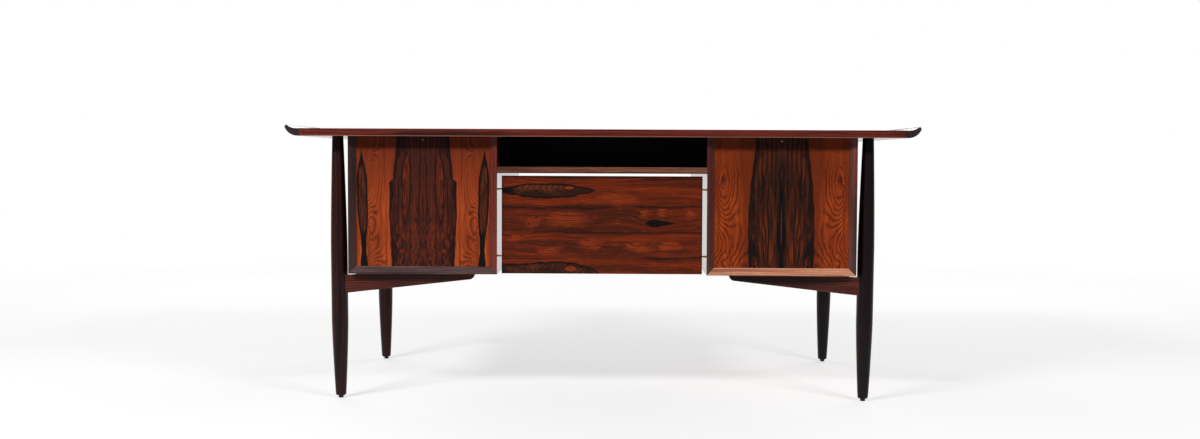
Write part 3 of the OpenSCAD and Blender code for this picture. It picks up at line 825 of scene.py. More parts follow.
@dataclass(frozen=True)
class IslandVeneer(PanelVeneer):
    """The modesty panel: grain along its length, two dark islands at the left and a black knot."""

    wood: Tones = Tones(srgb(158, 60, 18), srgb(130, 43, 11), srgb(82, 29, 9), srgb(30, 12, 7))
    belt_tone: Colour = srgb(58, 21, 8)
    streak_tone: Colour = srgb(50, 18, 7)
    seam_tone: Colour = srgb(20, 9, 6)
    island_tones: Tones = Tones(srgb(92, 42, 22), srgb(44, 20, 11), srgb(28, 13, 8), srgb(26, 12, 8))
    island_black: Colour = srgb(8, 5, 4)
    heart_rim: Colour = srgb(30, 14, 8)
    heart_tone: Colour = srgb(142, 55, 22)
    knot_black: Colour = srgb(7, 5, 4)
    knot_brown: Colour = srgb(48, 26, 13)
    islands: tuple[Island, ...] = (
        Island(
            Almond(223.0, 124.0, 19.5, 96.0, True),
            Almond(224.0, 116.0, 13.0, 136.0, True),
            Almond(231.0, 181.0, 6.0, 16.0),
            40.0,
        ),
        Island(
            Almond(6.0, 140.0, 25.0, 84.0, True),
            Almond(1.0, 104.0, 24.5, 158.0, True),
            Almond(13.0, 186.0, 8.5, 20.0),
            8.0,
        ),
    )
    knots: tuple[Almond, ...] = (Almond(136.0, 413.0, 11.0, 29.0), Almond(136.5, 427.0, 6.0, 41.0))
    seams: tuple[Seam, ...] = (
        Seam(178.0, -40.0, 330.0, 3.4),
        Seam(182.0, 380.0, 600.0, 4.4),
        Seam(111.0, 90.0, 600.0, 2.6),
        Seam(43.0, 400.0, 600.0, 2.8),
        Seam(254.0, 390.0, 600.0, 2.4),
    )
    knot_swell: Swell = Swell(138.0, 412.0, 18.0, 52.0, 20.0)
    patches: tuple[Swell, ...] = (
        Swell(140.0, 84.0, 15.0, 28.0, 10.0),
        Swell(146.0, 176.0, 24.0, 70.0, 8.0),
        Swell(62.0, 128.0, 13.0, 36.0, 12.0),
        Swell(80.0, 238.0, 19.0, 38.0, 12.0),
        Swell(70.0, 366.0, 17.0, 36.0, 12.0),
        Swell(166.0, 382.0, 15.0, 20.0, 9.0),
        Swell(168.0, 434.0, 14.0, 16.0, 9.0),
        Swell(162.0, 506.0, 12.0, 16.0, 9.0),
        Swell(205.0, 310.0, 14.0, 66.0, 8.0),
        Swell(96.0, 30.0, 12.0, 30.0, 8.0),
        Swell(75.0, 455.0, 14.0, 34.0, 8.0),
    )

    def ground(self, g: Graph, up: Sock, along: Sock, wavering: Sock) -> tuple[Paint, Sock]:
        """Return the colour of the plain wood and its growth lines.

        Args:
            g: The material's graph.
            up: Height on the panel.
            along: Distance from its left end.
            wavering: The height with a waver.

        Returns:
            The colour and the lines.
        """
        drifted = up + (g.noise(up / 10, along / 34, 8.0, detail=5, rough=0.6) - 0.5) * 34
        strayed = along + (g.noise(up / 8, along / 30, 3.0, detail=5, rough=0.6) - 0.5) * 90
        field = wavering
        glow = g.noise(up / 12, along / 30, 6.0, detail=4).step(0.5, 0.68, 0.0, 0.3)
        for patch in self.patches:
            share = g.swell(drifted, strayed, patch)
            glow = glow.most(share.step(0.25, 0.8))
            field = field + share * patch.rise
        field = field + g.swell(up, along, self.knot_swell) * self.knot_swell.rise
        bold = g.noise(field / 9, along / 300, 4.0, detail=3).step(0.4, 0.6, 0.15, 0.9)
        bold = bold * g.noise(up / 1.5, along / 20, 6.1).step(0.3, 0.6, 0.5, 1.0)
        lines = g.contour(field, 6.6, 0.34) * bold
        bands = g.noise(field / 18, along / 420, 3.0, detail=4).step(0.38, 0.6)
        streaks = g.noise(field / 3.6, along / 130, 12.0, detail=4, rough=0.6).step(0.38, 0.62)
        belt = up.step(104.0, 122.0) * up.fade(170.0, 186.0)
        seams = []
        for seam in self.seams:
            near = (abs(wavering - seam.level) / seam.half_wide).step(0.2, 1.8, 0.75, 0.0)
            reach = along.step(seam.start - 30, seam.start) * along.fade(seam.end - 60, seam.end)
            seams.append((near * reach, self.seam_tone))
        colour = g.lay(
            self.wood.middle,
            (bands, self.wood.deep),
            (belt * 0.4, self.belt_tone),
            (glow * 0.7, self.wood.pale),
            (streaks * 0.5, self.streak_tone),
            (lines * 0.8, self.wood.line),
            *seams,
        )
        return colour, lines

    def build(self) -> bpy.types.Material:
        """Make the material.

        Returns:
            The veneer, with its islands and its knot.
        """
        g = Graph(self.name)
        x, _, z = g.axes()
        along = x - self.start_x
        up = z - self.start_z
        waver = g.noise(up / 28, along / 90, 2.0, detail=4) - 0.5
        ragged = (g.noise(along / 24, up / 14, 5.0, detail=4) - 0.5) * 11
        colour, lines = self.ground(g, up, along, up + waver * 18)
        fibres = g.noise(up / 1.5, along / 70, 1.0, detail=3).step(0.3, 0.7)
        colour = g.mix(fibres * 0.25, colour, self.tones.line)
        bowed = up + waver * 10
        bent = g.noise(up / 14, along / 40, 5.0) * 18
        mottle = g.noise(along / 70, up / 30, 7.5, detail=3).step(0.35, 0.65)
        for island in self.islands:
            body, heart = island.body, island.heart
            inside = g.almond(bowed, along, body).most(g.almond(bowed, along, island.tail)) + ragged * 0.6
            aside = abs(along - heart.up) * 0.7 + abs(up - heart.across) * 0.8
            ripple = g.contour(aside + bent, 11.0, 0.45) * 0.6
            brown = g.lay(
                self.island_tones.middle,
                (mottle, self.island_tones.pale),
                (ripple, self.island_tones.line),
                (up.step(body.across - 16.0, body.across, 0.7, 0.0), self.island_tones.deep),
            )
            light = g.almond(up, along, heart) + ragged * 0.4
            colour = g.lay(
                colour,
                (inside.step(-0.8, 0.8), self.island_black),
                (inside.step(2.6, 5.4) * along.step(island.black_to - 18.0, island.black_to + 14.0), brown),
                (light.step(-3.4, -1.4) * inside.step(1.0, 3.0) * 0.7, self.heart_rim),
                (light.step(-0.5, 3.0) * (0.75 - ripple * 0.3), self.heart_tone),
            )
        for knot in self.knots:
            dark = g.almond(up, along, knot) + ragged * 0.35
            colour = g.lay(
                colour, (dark.step(-0.5, 0.9), self.knot_black), (dark.step(4.5, 7.5) * 0.6, self.knot_brown))
        return self.close(g, colour, lines, g.pores(up / 0.8, along / 11, 9.2))


@dataclass(frozen=True)
class PaleWood(Finish):
    """The pale wood inside the drawers, unstained and only lightly sealed."""

    grain: Grain
    pale: Colour
    deep: Colour
    roughness: float = 0.6
    relief: float = 0.05

    def build(self) -> bpy.types.Material:
        """Make the material.

        Returns:
            The wood.
        """
        g = Graph(self.name)
        along, across, through = self.grain.sort(g.axes())
        drift = g.noise(along / 300, across / 50, through / 50) - 0.5
        lines = g.contour(across * 0.7 + through * 0.7 + drift * 26, 6.5, 0.42)
        fibres = g.noise(along / 45, across / 1.2, through / 1.2, detail=3).step(0.3, 0.7)
        colour = g.lay(self.pale, (fibres, self.deep), (lines * 0.35, self.deep))
        return g.finish(colour, self.roughness, 1.0 - fibres * 0.4, self.relief)


@dataclass(frozen=True)
class Metal(Finish):
    """Metal with a fine grain and a little tarnish."""

    bright: Colour
    dull: Colour
    roughness: float
    relief: float = 0.02

    def build(self) -> bpy.types.Material:
        """Make the material.

        Returns:
            The metal.
        """
        g = Graph(self.name)
        x, y, z = g.axes()
        tarnish = g.noise(x / 9, y / 9, z / 9, detail=4).step(0.42, 0.66)
        scratches = g.noise(x / 14, y / 0.7, z / 0.7, detail=2)
        colour = g.mix(tarnish, self.bright, self.dull)
        roughness = self.roughness + tarnish * 0.2
        return g.finish(colour, roughness, scratches, self.relief, metallic=1.0, specular=0.5)


@dataclass(frozen=True)
class Plastic(Finish):
    """Moulded plastic, scuffed by use."""

    colour: Colour
    scuffed: Colour
    roughness: float = 0.5
    relief: float = 0.05

    def build(self) -> bpy.types.Material:
        """Make the material.

        Returns:
            The plastic.
        """
        g = Graph(self.name)
        x, y, z = g.axes()
        scuffs = g.noise(x / 3, y / 3, z / 1.5, detail=4).step(0.5, 0.68)
        colour = g.mix(scuffs, self.colour, self.scuffed)
        return g.finish(colour, self.roughness + scuffs * 0.2, scuffs, self.relief)


EdgeTest = Callable[[bmesh.types.BMEdge], bool]


def always(_edge: bmesh.types.BMEdge) -> bool:
    """Choose every edge."""
    return True


class Shape:
    """A mesh being made, in metres, which becomes one piece of the desk."""

    COPY_MERGE = 0.01
    MEND_MERGE = 0.001
    FLAT_ANGLE = 0.5

    def __init__(self) -> None:
        """Start an empty mesh."""
        self.bm = bmesh.new()

    def copy_node(self, node: bpy.types.Object) -> Shape:
        """Take over a node's mesh, merged and without the edges inside its flat faces.

        Args:
            node: The CAD node's object.

        Returns:
            This shape.
        """
        self.bm.from_mesh(node.data)
        bmesh.ops.remove_doubles(self.bm, verts=self.bm.verts, dist=self.COPY_MERGE * MM)
        flat = math.radians(self.FLAT_ANGLE)
        bmesh.ops.dissolve_limit(self.bm, angle_limit=flat, verts=self.bm.verts, edges=self.bm.edges)
        return self

    def board(self, low: Sequence[float], high: Sequence[float]) -> Shape:
        """Add a rectangular block.

        Args:
            low: Its lowest corner in millimetres.
            high: Its highest corner in millimetres.

        Returns:
            This shape.
        """
        size = [(b - a) * MM for a, b in zip(low, high)]
        middle = [(a + b) / 2 * MM for a, b in zip(low, high)]
        matrix = Matrix.Translation(middle) @ Matrix.Diagonal((*size, 1.0))
        bmesh.ops.create_cube(self.bm, size=1.0, matrix=matrix)
        return self

    def extrude(self, outline: Iterable[Sequence[float]], way: Sequence[float]) -> Shape:
        """Draw an outline and extrude it.

        Args:
            outline: Its points in millimetres.
            way: The extrusion in millimetres.

        Returns:
            This shape.
        """
        verts = [self.bm.verts.new(Vector(point) * MM) for point in outline]
        face = self.bm.faces.new(verts)
        grown = bmesh.ops.extrude_face_region(self.bm, geom=[face])["geom"]
        moved = [item for item in grown if isinstance(item, bmesh.types.BMVert)]
        bmesh.ops.translate(self.bm, verts=moved, vec=Vector(way) * MM)
        return self

    def turn(self, profile: Iterable[tuple[float, float]], steps: int = 64) -> Shape:
        """Spin a profile round the Z axis.

        Args:
            profile: Its radii and heights in millimetres.
            steps: Faces round the turning.

        Returns:
            This shape.
        """
        verts = [self.bm.verts.new(Vector((radius, 0.0, height)) * MM) for radius, height in profile]
        edges = [self.bm.edges.new(pair) for pair in zip(verts, verts[1:])]
        bmesh.ops.spin(
            self.bm,
            geom=verts + edges,
            cent=(0.0, 0.0, 0.0),
            axis=(0.0, 0.0, 1.0),
            dvec=(0.0, 0.0, 0.0),
            angle=math.tau,
            steps=steps,
            use_merge=True,
            use_duplicate=False,
        )
        return self

    def place(self, matrix: Matrix) -> Shape:
        """Move the whole mesh."""
        bmesh.ops.transform(self.bm, matrix=matrix, verts=self.bm.verts)
        return self

    def cut_level(self, height: float, keep_below: bool) -> Shape:
        """Cut the mesh off level and close the cut.

        Args:
            height: Height of the cut in millimetres.
            keep_below: Whether the part below it stays.

        Returns:
            This shape.
        """
        geom = [*self.bm.verts, *self.bm.edges, *self.bm.faces]
        cut = bmesh.ops.bisect_plane(
            self.bm,
            geom=geom,
            plane_co=(0.0, 0.0, height * MM),
            plane_no=(0.0, 0.0, 1.0),
            clear_outer=keep_below,
            clear_inner=not keep_below,
        )
        rim = [item for item in cut["geom_cut"] if isinstance(item, bmesh.types.BMEdge)]
        bmesh.ops.holes_fill(self.bm, edges=rim)
        return self

    def slice_across(self, places: Iterable[float]) -> Shape:
        """Cut edges round the mesh, square to Y.

        Args:
            places: Where on Y to cut, in millimetres.

        Returns:
            This shape.
        """
        for y in places:
            geom = [*self.bm.verts, *self.bm.edges, *self.bm.faces]
            bmesh.ops.bisect_plane(self.bm, geom=geom, plane_co=(0.0, y * MM, 0.0), plane_no=(0.0, 1.0, 0.0))
        return self

    def mend(self) -> Shape:
        """Merge doubles and point every face outwards.

        Returns:
            This shape.
        """
        bmesh.ops.remove_doubles(self.bm, verts=self.bm.verts, dist=self.MEND_MERGE * MM)
        bmesh.ops.recalc_face_normals(self.bm, faces=self.bm.faces)
        return self

    def soften(
        self,
        width: float,
        segments: int = 2,
        chosen: EdgeTest = always,
        least_length: float = 0.0,
        least_angle: float = 30.0,
    ) -> Shape:
        """Round the arrises.

        Args:
            width: Width of the rounding in millimetres.
            segments: Faces across it.
            chosen: Which edges it may take.
            least_length: Length in millimetres below which an edge is left.
            least_angle: Angle in degrees below which an edge is left.

        Returns:
            This shape.
        """
        edges = []
        for edge in self.bm.edges:
            if len(edge.link_faces) != 2 or edge.calc_length() < least_length * MM:
                continue
            if edge.calc_face_angle_signed() > math.radians(least_angle) and chosen(edge):
                edges.append(edge)
        bmesh.ops.bevel(
            self.bm,
            geom=edges,
            offset=width * MM,
            offset_type="OFFSET",
            affect="EDGES",
            segments=segments,
            profile=0.5,
            material=-1,
            clamp_overlap=False,
        )
        return self

    def finish(self, name: str, smooth: float = 32.0) -> bpy.types.Object:
        """Turn the mesh into an object at the origin.

        Args:
            name: The object's name.
            smooth: Angle in degrees above which an edge looks sharp.

        Returns:
            The object.
        """
        for face in self.bm.faces:
            face.smooth = True
        mesh = bpy.data.meshes.new(name)
        self.bm.to_mesh(mesh)
        self.bm.free()
        mesh.set_sharp_from_angle(angle=math.radians(smooth))
        piece = bpy.data.objects.new(name, mesh)
        bpy.context.scene.collection.objects.link(piece)
        level = piece.modifiers.new("flat_faces", "WEIGHTED_NORMAL")
        level.keep_sharp = True
        return piece


class Workshop:
    """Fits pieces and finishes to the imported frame."""

    def __init__(self, frame: dict) -> None:
        """Read the frame.
        """
        self.nodes = frame["nodes"]
        self.slots = {row["node"]: row["material_slot"] for row in frame["record"]["subparts"]}
        groups = frame["record"]["behaviour"]["bodies"]
        self.body_of = {node: body for body, members in groups.items() for node in members}
        self.made: dict[str, bpy.types.Material] = {}

    def material(self, finish: Finish) -> bpy.types.Material:
        """Return a finish's material.

        Args:
            finish: The finish.

        Returns:
            Its material, which is made the first time.
        """
        if finish.name not in self.made:
            self.made[finish.name] = finish.build()
        return self.made[finish.name]

    def dress(self, node: str, finish: Finish) -> None:
        """Give a CAD node its finish.

        Args:
            node: The node's name.
            finish: Its finish.
        """
        mesh = self.nodes[node].data
        mesh.materials.clear()
        mesh.materials.append(self.material(finish))
        LOG.info("dressed %s", node)

    def fit(self, piece: bpy.types.Object, node: str, finish: Finish) -> None:
        """Put a new piece in a node's place.

        Args:
            piece: The new piece.
            node: The node that it stands for.
            finish: Its finish.
        """
        piece.data.materials.append(self.material(finish))
        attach(piece, self.body_of[node])
        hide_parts(node)
        LOG.info("fitted %s", piece.name)

    def ease(
        self, node: str, finish: Finish, width: float, chosen: EdgeTest = always, least: float = 12.0
    ) -> None:
        """Replace a node by a copy of itself with eased arrises.

        Args:
            node: The node's name.
            finish: Its finish.
            width: Width of the easing in millimetres.
            chosen: Which edges it may take.
            least: Length in millimetres below which an edge is left.
        """
        shape = Shape().copy_node(self.nodes[node])
        shape.soften(width, 2, chosen, least)
        self.fit(shape.finish(f"{node}_eased"), node, finish)


class Corner(Enum):
    """The four corners of the desk: side, 1 for the right, and depth, 1 for the user's."""

    VISITOR_LEFT = (-1, -1)
    VISITOR_RIGHT = (1, -1)
    USER_LEFT = (-1, 1)
    USER_RIGHT = (1, 1)

    @property
    def word(self) -> str:
        """The corner's name as the nodes have it."""
        return self.name.lower()


def quarter(steps: int) -> list[Point]:
    """Return the sine and the cosine at equal steps over a quarter of a turn."""
    angles = [math.tau / 4 * step / steps for step in range(steps + 1)]
    return [(math.sin(angle), math.cos(angle)) for angle in angles]


@dataclass(frozen=True)
class TurnedLeg:
    """A turned leg with a swelling middle, leaning out a little towards its top."""

    top_d: float = 30.0
    belly_d: float = 44.5
    foot_d: float = 28.0
    belly_low: float = 215.0
    belly_high: float = 410.0
    taper: float = 1.35
    foot_r: float = 4.0
    foot_z: float = 7.0
    top_z: float = 710.0
    foot_x: float = 708.75
    lean: float = 6.0
    y: float = 347.0
    spigot_d: float = 18.0
    spigot_l: float = 12.0
    spigot_steps: int = 48
    steps: int = 18
    spare: float = 1.0

    def radius(self, height: float) -> float:
        """Return the leg's radius.

        Args:
            height: Height along the leg.

        Returns:
            The radius there.
        """
        if height < self.belly_low:
            share, end_d = (self.belly_low - height) / (self.belly_low - self.foot_z), self.foot_d
        elif height > self.belly_high:
            share, end_d = (height - self.belly_high) / (self.top_z - self.belly_high), self.top_d
        else:
            return self.belly_d / 2
        return (self.belly_d - (self.belly_d - end_d) * share**self.taper) / 2

    def axis_x(self, height: float) -> float:
        """Return the distance of the leg's axis from the middle of the desk at a height."""
        return self.foot_x + self.lean * height / self.top_z

    def profile(self) -> list[Point]:
        """Draw the turning, from a little below the foot to a little above the top.

        Returns:
            Its radii and heights.
        """
        foot_r, foot_d, foot_z = self.foot_r, self.foot_d, self.foot_z
        points = [(0.0, foot_z - self.spare), (foot_d / 2 - foot_r, foot_z - self.spare)]
        for sine, cosine in quarter(4):
            points.append((foot_d / 2 - foot_r * (1 - sine), foot_z + foot_r * (1 - cosine)))
        first = foot_z + foot_r
        for step in range(1, self.steps + 1):
            height = first + (self.belly_low - first) * step / self.steps
            points.append((self.radius(height), height))
        for step in range(self.steps + 1):
            height = self.belly_high + (self.top_z + self.spare - self.belly_high) * step / self.steps
            points.append((self.radius(min(height, self.top_z)), height))
        points.append((0.0, self.top_z + self.spare))
        return points

    def build(self, shop: Workshop, corner: Corner, finish: Finish) -> None:
        """Make the leg of one corner.

        Args:
            shop: The workshop.
            corner: The corner.
            finish: The leg's finish.
        """
        side, depth = corner.value
        tilt = math.atan(self.lean / self.top_z) * side
        stand = Matrix.Translation(Vector((side * self.foot_x, depth * self.y, 0.0)) * MM)
        leg = Shape().turn(self.profile()).mend()
        leg.place(stand @ Matrix.Rotation(tilt, 4, "Y"))
        leg.cut_level(self.top_z, keep_below=True).cut_level(self.foot_z, keep_below=False)
        middle = Vector((side * self.axis_x(self.top_z), depth * self.y, self.top_z + self.spigot_l / 2))
        bmesh.ops.create_cone(
            leg.bm,
            cap_ends=True,
            segments=self.spigot_steps,
            radius1=self.spigot_d / 2 * MM,
            radius2=self.spigot_d / 2 * MM,
            depth=self.spigot_l * MM,
            matrix=Matrix.Translation(middle * MM),
        )
        leg.mend()
        shop.fit(leg.finish(f"turned_leg_{corner.word}"), f"leg_{corner.word}", finish)


@dataclass(frozen=True)
class TaperedArm:
    """An arm from a leg to under a pedestal, deep at its root and rounded at its nose."""

    thick: float = 26.0
    root_h: float = 56.0
    tip_h: float = 16.5
    length: float = 354.0
    nose: float = 14.0
    relief: float = 5.0
    relief_end: float = 46.9
    axis_x: float = 711.378
    top_z: float = 341.5
    arris: float = 2.4
    root_cut: float = 12.0
    bury: float = 0.2
    slices: tuple[float, ...] = (-8.0, -4.0, 0.0, 4.0, 8.0)

    def outline(self) -> list[Point]:
        """Draw the arm from its root.

        Returns:
            Distances inwards, and heights over the pedestal's underside.
        """
        root_low = -self.root_h + (self.root_h - self.tip_h) * self.root_cut / self.length
        points = [(self.root_cut, -self.relief), (self.root_cut, root_low)]
        for sine, cosine in quarter(8):
            points.append((self.length + self.nose * sine, -self.tip_h * cosine))
        for sine, cosine in quarter(4):
            points.append((self.relief_end - self.relief * (1 - cosine), -self.relief * sine))
        return points

    def build(self, shop: Workshop, corner: Corner, leg: TurnedLeg, finish: Finish) -> None:
        """Make the arm of one corner.

        Args:
            shop: The workshop.
            corner: The corner.
            leg: The leg that it is fitted to.
            finish: The arm's finish.
        """
        side, depth = corner.value
        near = depth * leg.y - self.thick / 2
        points = [(side * (self.axis_x - s), near, self.top_z + h) for s, h in self.outline()]
        arm = Shape().extrude(points, (0.0, self.thick, 0.0)).mend()
        root_x = (self.axis_x - self.root_cut) * MM

        def open_arris(edge: bmesh.types.BMEdge) -> bool:
            """Choose the edges that aren't at the root or against the pedestal.

            Args:
                edge: An edge.

            Returns:
                Whether it is rounded.
            """
            ends = [vert.co for vert in edge.verts]
            at_root = all(abs(abs(co.x) - root_x) < NEAR * MM for co in ends)
            at_case = all(co.z > (self.top_z - NEAR) * MM for co in ends)
            along_y = abs(ends[0].y - ends[1].y) > 1 * MM
            return not (at_root or at_case or along_y)

        arm.soften(self.arris, 4, open_arris, least_angle=60.0)
        arm.slice_across(depth * leg.y + y for y in self.slices)
        for vert in arm.bm.verts:
            if abs(vert.co.x) > root_x - NEAR * MM:
                height = vert.co.z / MM
                offset = vert.co.y / MM - depth * leg.y
                reach = math.sqrt(leg.radius(height) ** 2 - offset**2) - self.bury
                vert.co.x = side * (leg.axis_x(height) - reach) * MM
        arm.mend()
        shop.fit(arm.finish(f"tapered_arm_{corner.word}"), f"arm_{corner.word}", finish)


@dataclass(frozen=True)
class EndLip:
    """An upturned lip along one end of the worktop."""

    joint_x: float = 802.0
    top_z: float = 730.0
    thick: float = 20.0
    width: float = 39.0
    rise: float = 10.5
    tip_h: float = 6.5
    slant: float = 4.7
    flat_top: float = 8.0
    flat_under: float = 5.0
    half_depth: float = 420.0
    tongue_l: float = 8.0
    tongue_t: float = 6.0
    tongue_stop: float = 16.0
    tongue_root: float = 1.0
    arris: float = 1.2

    def arc(self, start: Point, end: Point, steps: int = 10) -> list[Point]:
        """Return points on the circle that leaves start on the level and climbs to end.

        Args:
            start: Where the arc begins.
            end: Where it ends.
            steps: Steps on it.

        Returns:
            Its points, both ends among them.
        """
        dx, dz = end[0] - start[0], end[1] - start[1]
        radius = (dx * dx + dz * dz) / (2 * dz)
        sweep = math.asin(dx / radius) if dz <= radius else math.pi - math.asin(dx / radius)
        angles = [sweep * step / steps for step in range(steps + 1)]
        return [(start[0] + radius * math.sin(a), start[1] + radius * (1 - math.cos(a))) for a in angles]

    def outline(self) -> list[Point]:
        """Draw the lip's end.

        Returns:
            Distances out from the joint, and heights over the writing surface.
        """
        under = self.arc((self.flat_under, -self.thick), (self.width, self.rise - self.tip_h))
        over = self.arc((self.flat_top, 0.0), (self.width - self.slant, self.rise))
        return [(0.0, -self.thick), *under, *reversed(over), (0.0, 0.0)]

    def build(self, shop: Workshop, side: int, word: str, finish: Finish) -> None:
        """Make one lip.

        Args:
            shop: The workshop.
            side: 1 for the right.
            word: The side's name.
            finish: The lip's finish.
        """
        front = -self.half_depth
        points = [(side * (self.joint_x + out), front, self.top_z + up) for out, up in self.outline()]
        lip = Shape().extrude(points, (0.0, 2 * self.half_depth, 0.0)).mend()

        def off_joint(edge: bmesh.types.BMEdge) -> bool:
            """Choose the edges that don't lie in the joint."""
            return any(abs(abs(vert.co.x) - self.joint_x * MM) > NEAR * MM for vert in edge.verts)

        lip.soften(self.arris, 3, off_joint)
        reach = self.half_depth - self.tongue_stop
        middle = self.top_z - self.thick / 2
        inner, outer = self.joint_x - self.tongue_l, self.joint_x + self.tongue_root
        left, right = sorted((side * inner, side * outer))
        lip.board((left, -reach, middle - self.tongue_t / 2), (right, reach, middle + self.tongue_t / 2))
        shop.fit(lip.finish(f"upturned_lip_{word}"), f"top_lip_{word}", finish)


@dataclass(frozen=True)
class Assembly:
    """A group of the desk's pieces, made and dressed in one workshop."""

    shop: Workshop

    def build(self) -> None:
        """Make and dress the group, which each kind does in its own way."""
        raise NotImplementedError


@dataclass(frozen=True)
class Worktop(Assembly):
    """The veneered top with its solid lippings and end lips."""

    edge_y: float = 420.0
    arris: float = 0.8
    veneer: PlainVeneer = PlainVeneer(
        "worktop_veneer",
        Grain.LENGTH,
        Tones(srgb(132, 54, 28), srgb(104, 40, 21), srgb(64, 25, 15), srgb(34, 13, 9)),
        leaf=140.0,
        roughness=0.44,
        sealed_below=714.0,
    )
    # The edging's lower edge gets a painted pale highlight, the floor's light on its lower arris.
    edging: SolidRosewood = SolidRosewood(
        "edging_rosewood", Grain.LENGTH, RED_BROWN, ring=5.0, rubbed_below=712.0)
    lip_wood: SolidRosewood = SolidRosewood(
        "lip_rosewood",
        Grain.DEPTH,
        Tones(srgb(66, 34, 34), srgb(42, 22, 24), srgb(24, 13, 14), srgb(11, 7, 8)),
        ring=3.6,
        darkness=0.6,
        roughness=0.46,
        coat=0.5,
    )

    def build(self) -> None:
        """Make and dress the top."""
        self.shop.dress("top_panel", self.veneer)

        def on_edge(edge: bmesh.types.BMEdge) -> bool:
            """Choose the outer edges, which a hand touches."""
            return all(abs(vert.co.y) > (self.edge_y - NEAR) * MM for vert in edge.verts)

        self.shop.ease("top_edgings", self.edging, self.arris, on_edge)
        for side, word in ((-1, "left"), (1, "right")):
            EndLip().build(self.shop, side, word, self.lip_wood)


@dataclass(frozen=True)
class Underframe(Assembly):
    """The legs, their arms, the glides and the desk's screws."""

    leg: TurnedLeg = TurnedLeg()
    arm: TaperedArm = TaperedArm()
    # The right legs' near-black tones are painted shade, darker than the left legs' for how the light falls on
    # them.
    leg_tones: tuple[tuple[int, Tones], ...] = (
        (-1, NEAR_BLACK),
        (1, Tones(srgb(24, 11, 10), srgb(13, 6, 6), srgb(8, 4, 4), srgb(4, 3, 3))),
    )
    arm_wood: SolidRosewood = SolidRosewood("arm_rosewood", Grain.LENGTH, Tones(
        srgb(98, 44, 32), srgb(72, 30, 24), srgb(42, 17, 15), srgb(22, 9, 9)), ring=4.2)
    screw_metal: Metal = Metal("screw_metal", srgb(158, 142, 110), srgb(96, 82, 60), roughness=0.38)
    glide_plastic: Plastic = Plastic("glide_plastic", srgb(40, 38, 38), srgb(86, 82, 80))

    def build(self) -> None:
        """Make and dress the frame."""
        legs = {
            side: SolidRosewood(
                f"leg_rosewood_{side}", Grain.HEIGHT, tones, ring=5.0, streak_w=14.0, darkness=0.35)
            for side, tones in self.leg_tones
        }
        for corner in Corner:
            self.leg.build(self.shop, corner, legs[corner.value[0]])
            self.arm.build(self.shop, corner, self.leg, self.arm_wood)
        self.shop.dress("leg_glides", self.glide_plastic)
        for node in ("arm_screws", "top_screws", "panel_screws"):
            self.shop.dress(node, self.screw_metal)


@dataclass(frozen=True)
class Pedestals(Assembly):
    """The two pedestals: bevelled case boards and the veneered panels of the visitor's side."""

    middle_x: float = 480.5
    panel_low: float = 361.5
    arris: float = 0.35
    # Each board's tone is partly its own wood and partly painted light and shade: boards whose bevels face the
    # stronger left lamp are painted paler, the others darker.
    sides: tuple[tuple[str, Tones], ...] = (
        ("left_outer_side", Tones(srgb(62, 26, 19), srgb(44, 18, 14), srgb(26, 11, 10), srgb(14, 7, 7))),
        ("left_inner_side", Tones(srgb(122, 42, 24), srgb(94, 31, 18), srgb(60, 20, 13), srgb(34, 12, 9))),
        ("right_inner_side", Tones(srgb(92, 34, 21), srgb(68, 25, 16), srgb(42, 15, 11), srgb(24, 9, 8))),
        ("right_outer_side", Tones(srgb(124, 60, 46), srgb(94, 43, 33), srgb(58, 26, 21), srgb(32, 14, 13))),
    )
    # Both bottoms' tones paint light: the left one's grey is a painted reflection of the floor on dark wood,
    # the right one's pink is paler wood with a painted highlight.
    grey_bottom: SolidRosewood = SolidRosewood("left_bottom_rosewood", Grain.LENGTH, Tones(
        srgb(100, 76, 74), srgb(76, 54, 54), srgb(46, 32, 34), srgb(28, 19, 20)))
    pink_bottom: SolidRosewood = SolidRosewood("right_bottom_rosewood", Grain.LENGTH, Tones(
        srgb(208, 146, 116), srgb(182, 118, 90), srgb(144, 88, 66), srgb(104, 60, 46)), darkness=0.2)
    inside: PaleWood = PaleWood("case_hardwood", Grain.LENGTH, srgb(176, 132, 88), srgb(140, 98, 62))

    def build(self) -> None:
        """Make and dress both pedestals."""
        panels = {
            "left": AlmondVeneer("left_panel_veneer", -self.middle_x, self.panel_low),
            "right": FlameVeneer("right_panel_veneer", self.middle_x, self.panel_low),
        }
        bottoms = {"left": self.grey_bottom, "right": self.pink_bottom}
        for word, panel in panels.items():
            self.shop.dress(f"{word}_visitor_panel", panel)
            self.shop.dress(f"{word}_case_top", self.inside)
            self.shop.ease(f"{word}_case_bottom", bottoms[word], self.arris)
        for board, tones in self.sides:
            middle = -self.middle_x if board.startswith("left") else self.middle_x
            wood = CaseRosewood(f"{board}_rosewood", Grain.HEIGHT, tones, middle=middle)
            self.shop.ease(board, wood, self.arris)


@dataclass(frozen=True)
class MiddleSection(Assembly):
    """What hangs between the pedestals: the open shelf, the modesty panel and its rods."""

    panel_left: float = -269.5
    panel_low: float = 343.0
    shelf_arris: float = 0.6
    panel_arris: float = 0.8
    shelf_wood: SolidRosewood = SolidRosewood("shelf_rosewood", Grain.LENGTH, Tones(
        srgb(130, 82, 62), srgb(100, 58, 44), srgb(64, 34, 26), srgb(38, 19, 15)), ring=6.0)
    # The shelf back's near-black tones are painted shade, standing in for the dark deep inside the open shelf.
    back_wood: SolidRosewood = SolidRosewood("shelf_back_stain", Grain.LENGTH, Tones(
        srgb(24, 14, 12), srgb(17, 10, 9), srgb(10, 6, 6), srgb(5, 4, 4)), roughness=0.5)
    brass: Metal = Metal("spacer_brass", srgb(226, 186, 96), srgb(172, 128, 58), roughness=0.24)

    def build(self) -> None:
        """Make and dress the middle."""
        self.shop.ease("shelf_board", self.shelf_wood, self.shelf_arris)
        self.shop.dress("shelf_back", self.back_wood)
        panel = IslandVeneer("modesty_veneer", self.panel_left, self.panel_low)
        self.shop.ease("modesty_panel", panel, self.panel_arris)
        self.shop.dress("modesty_spacers", self.brass)


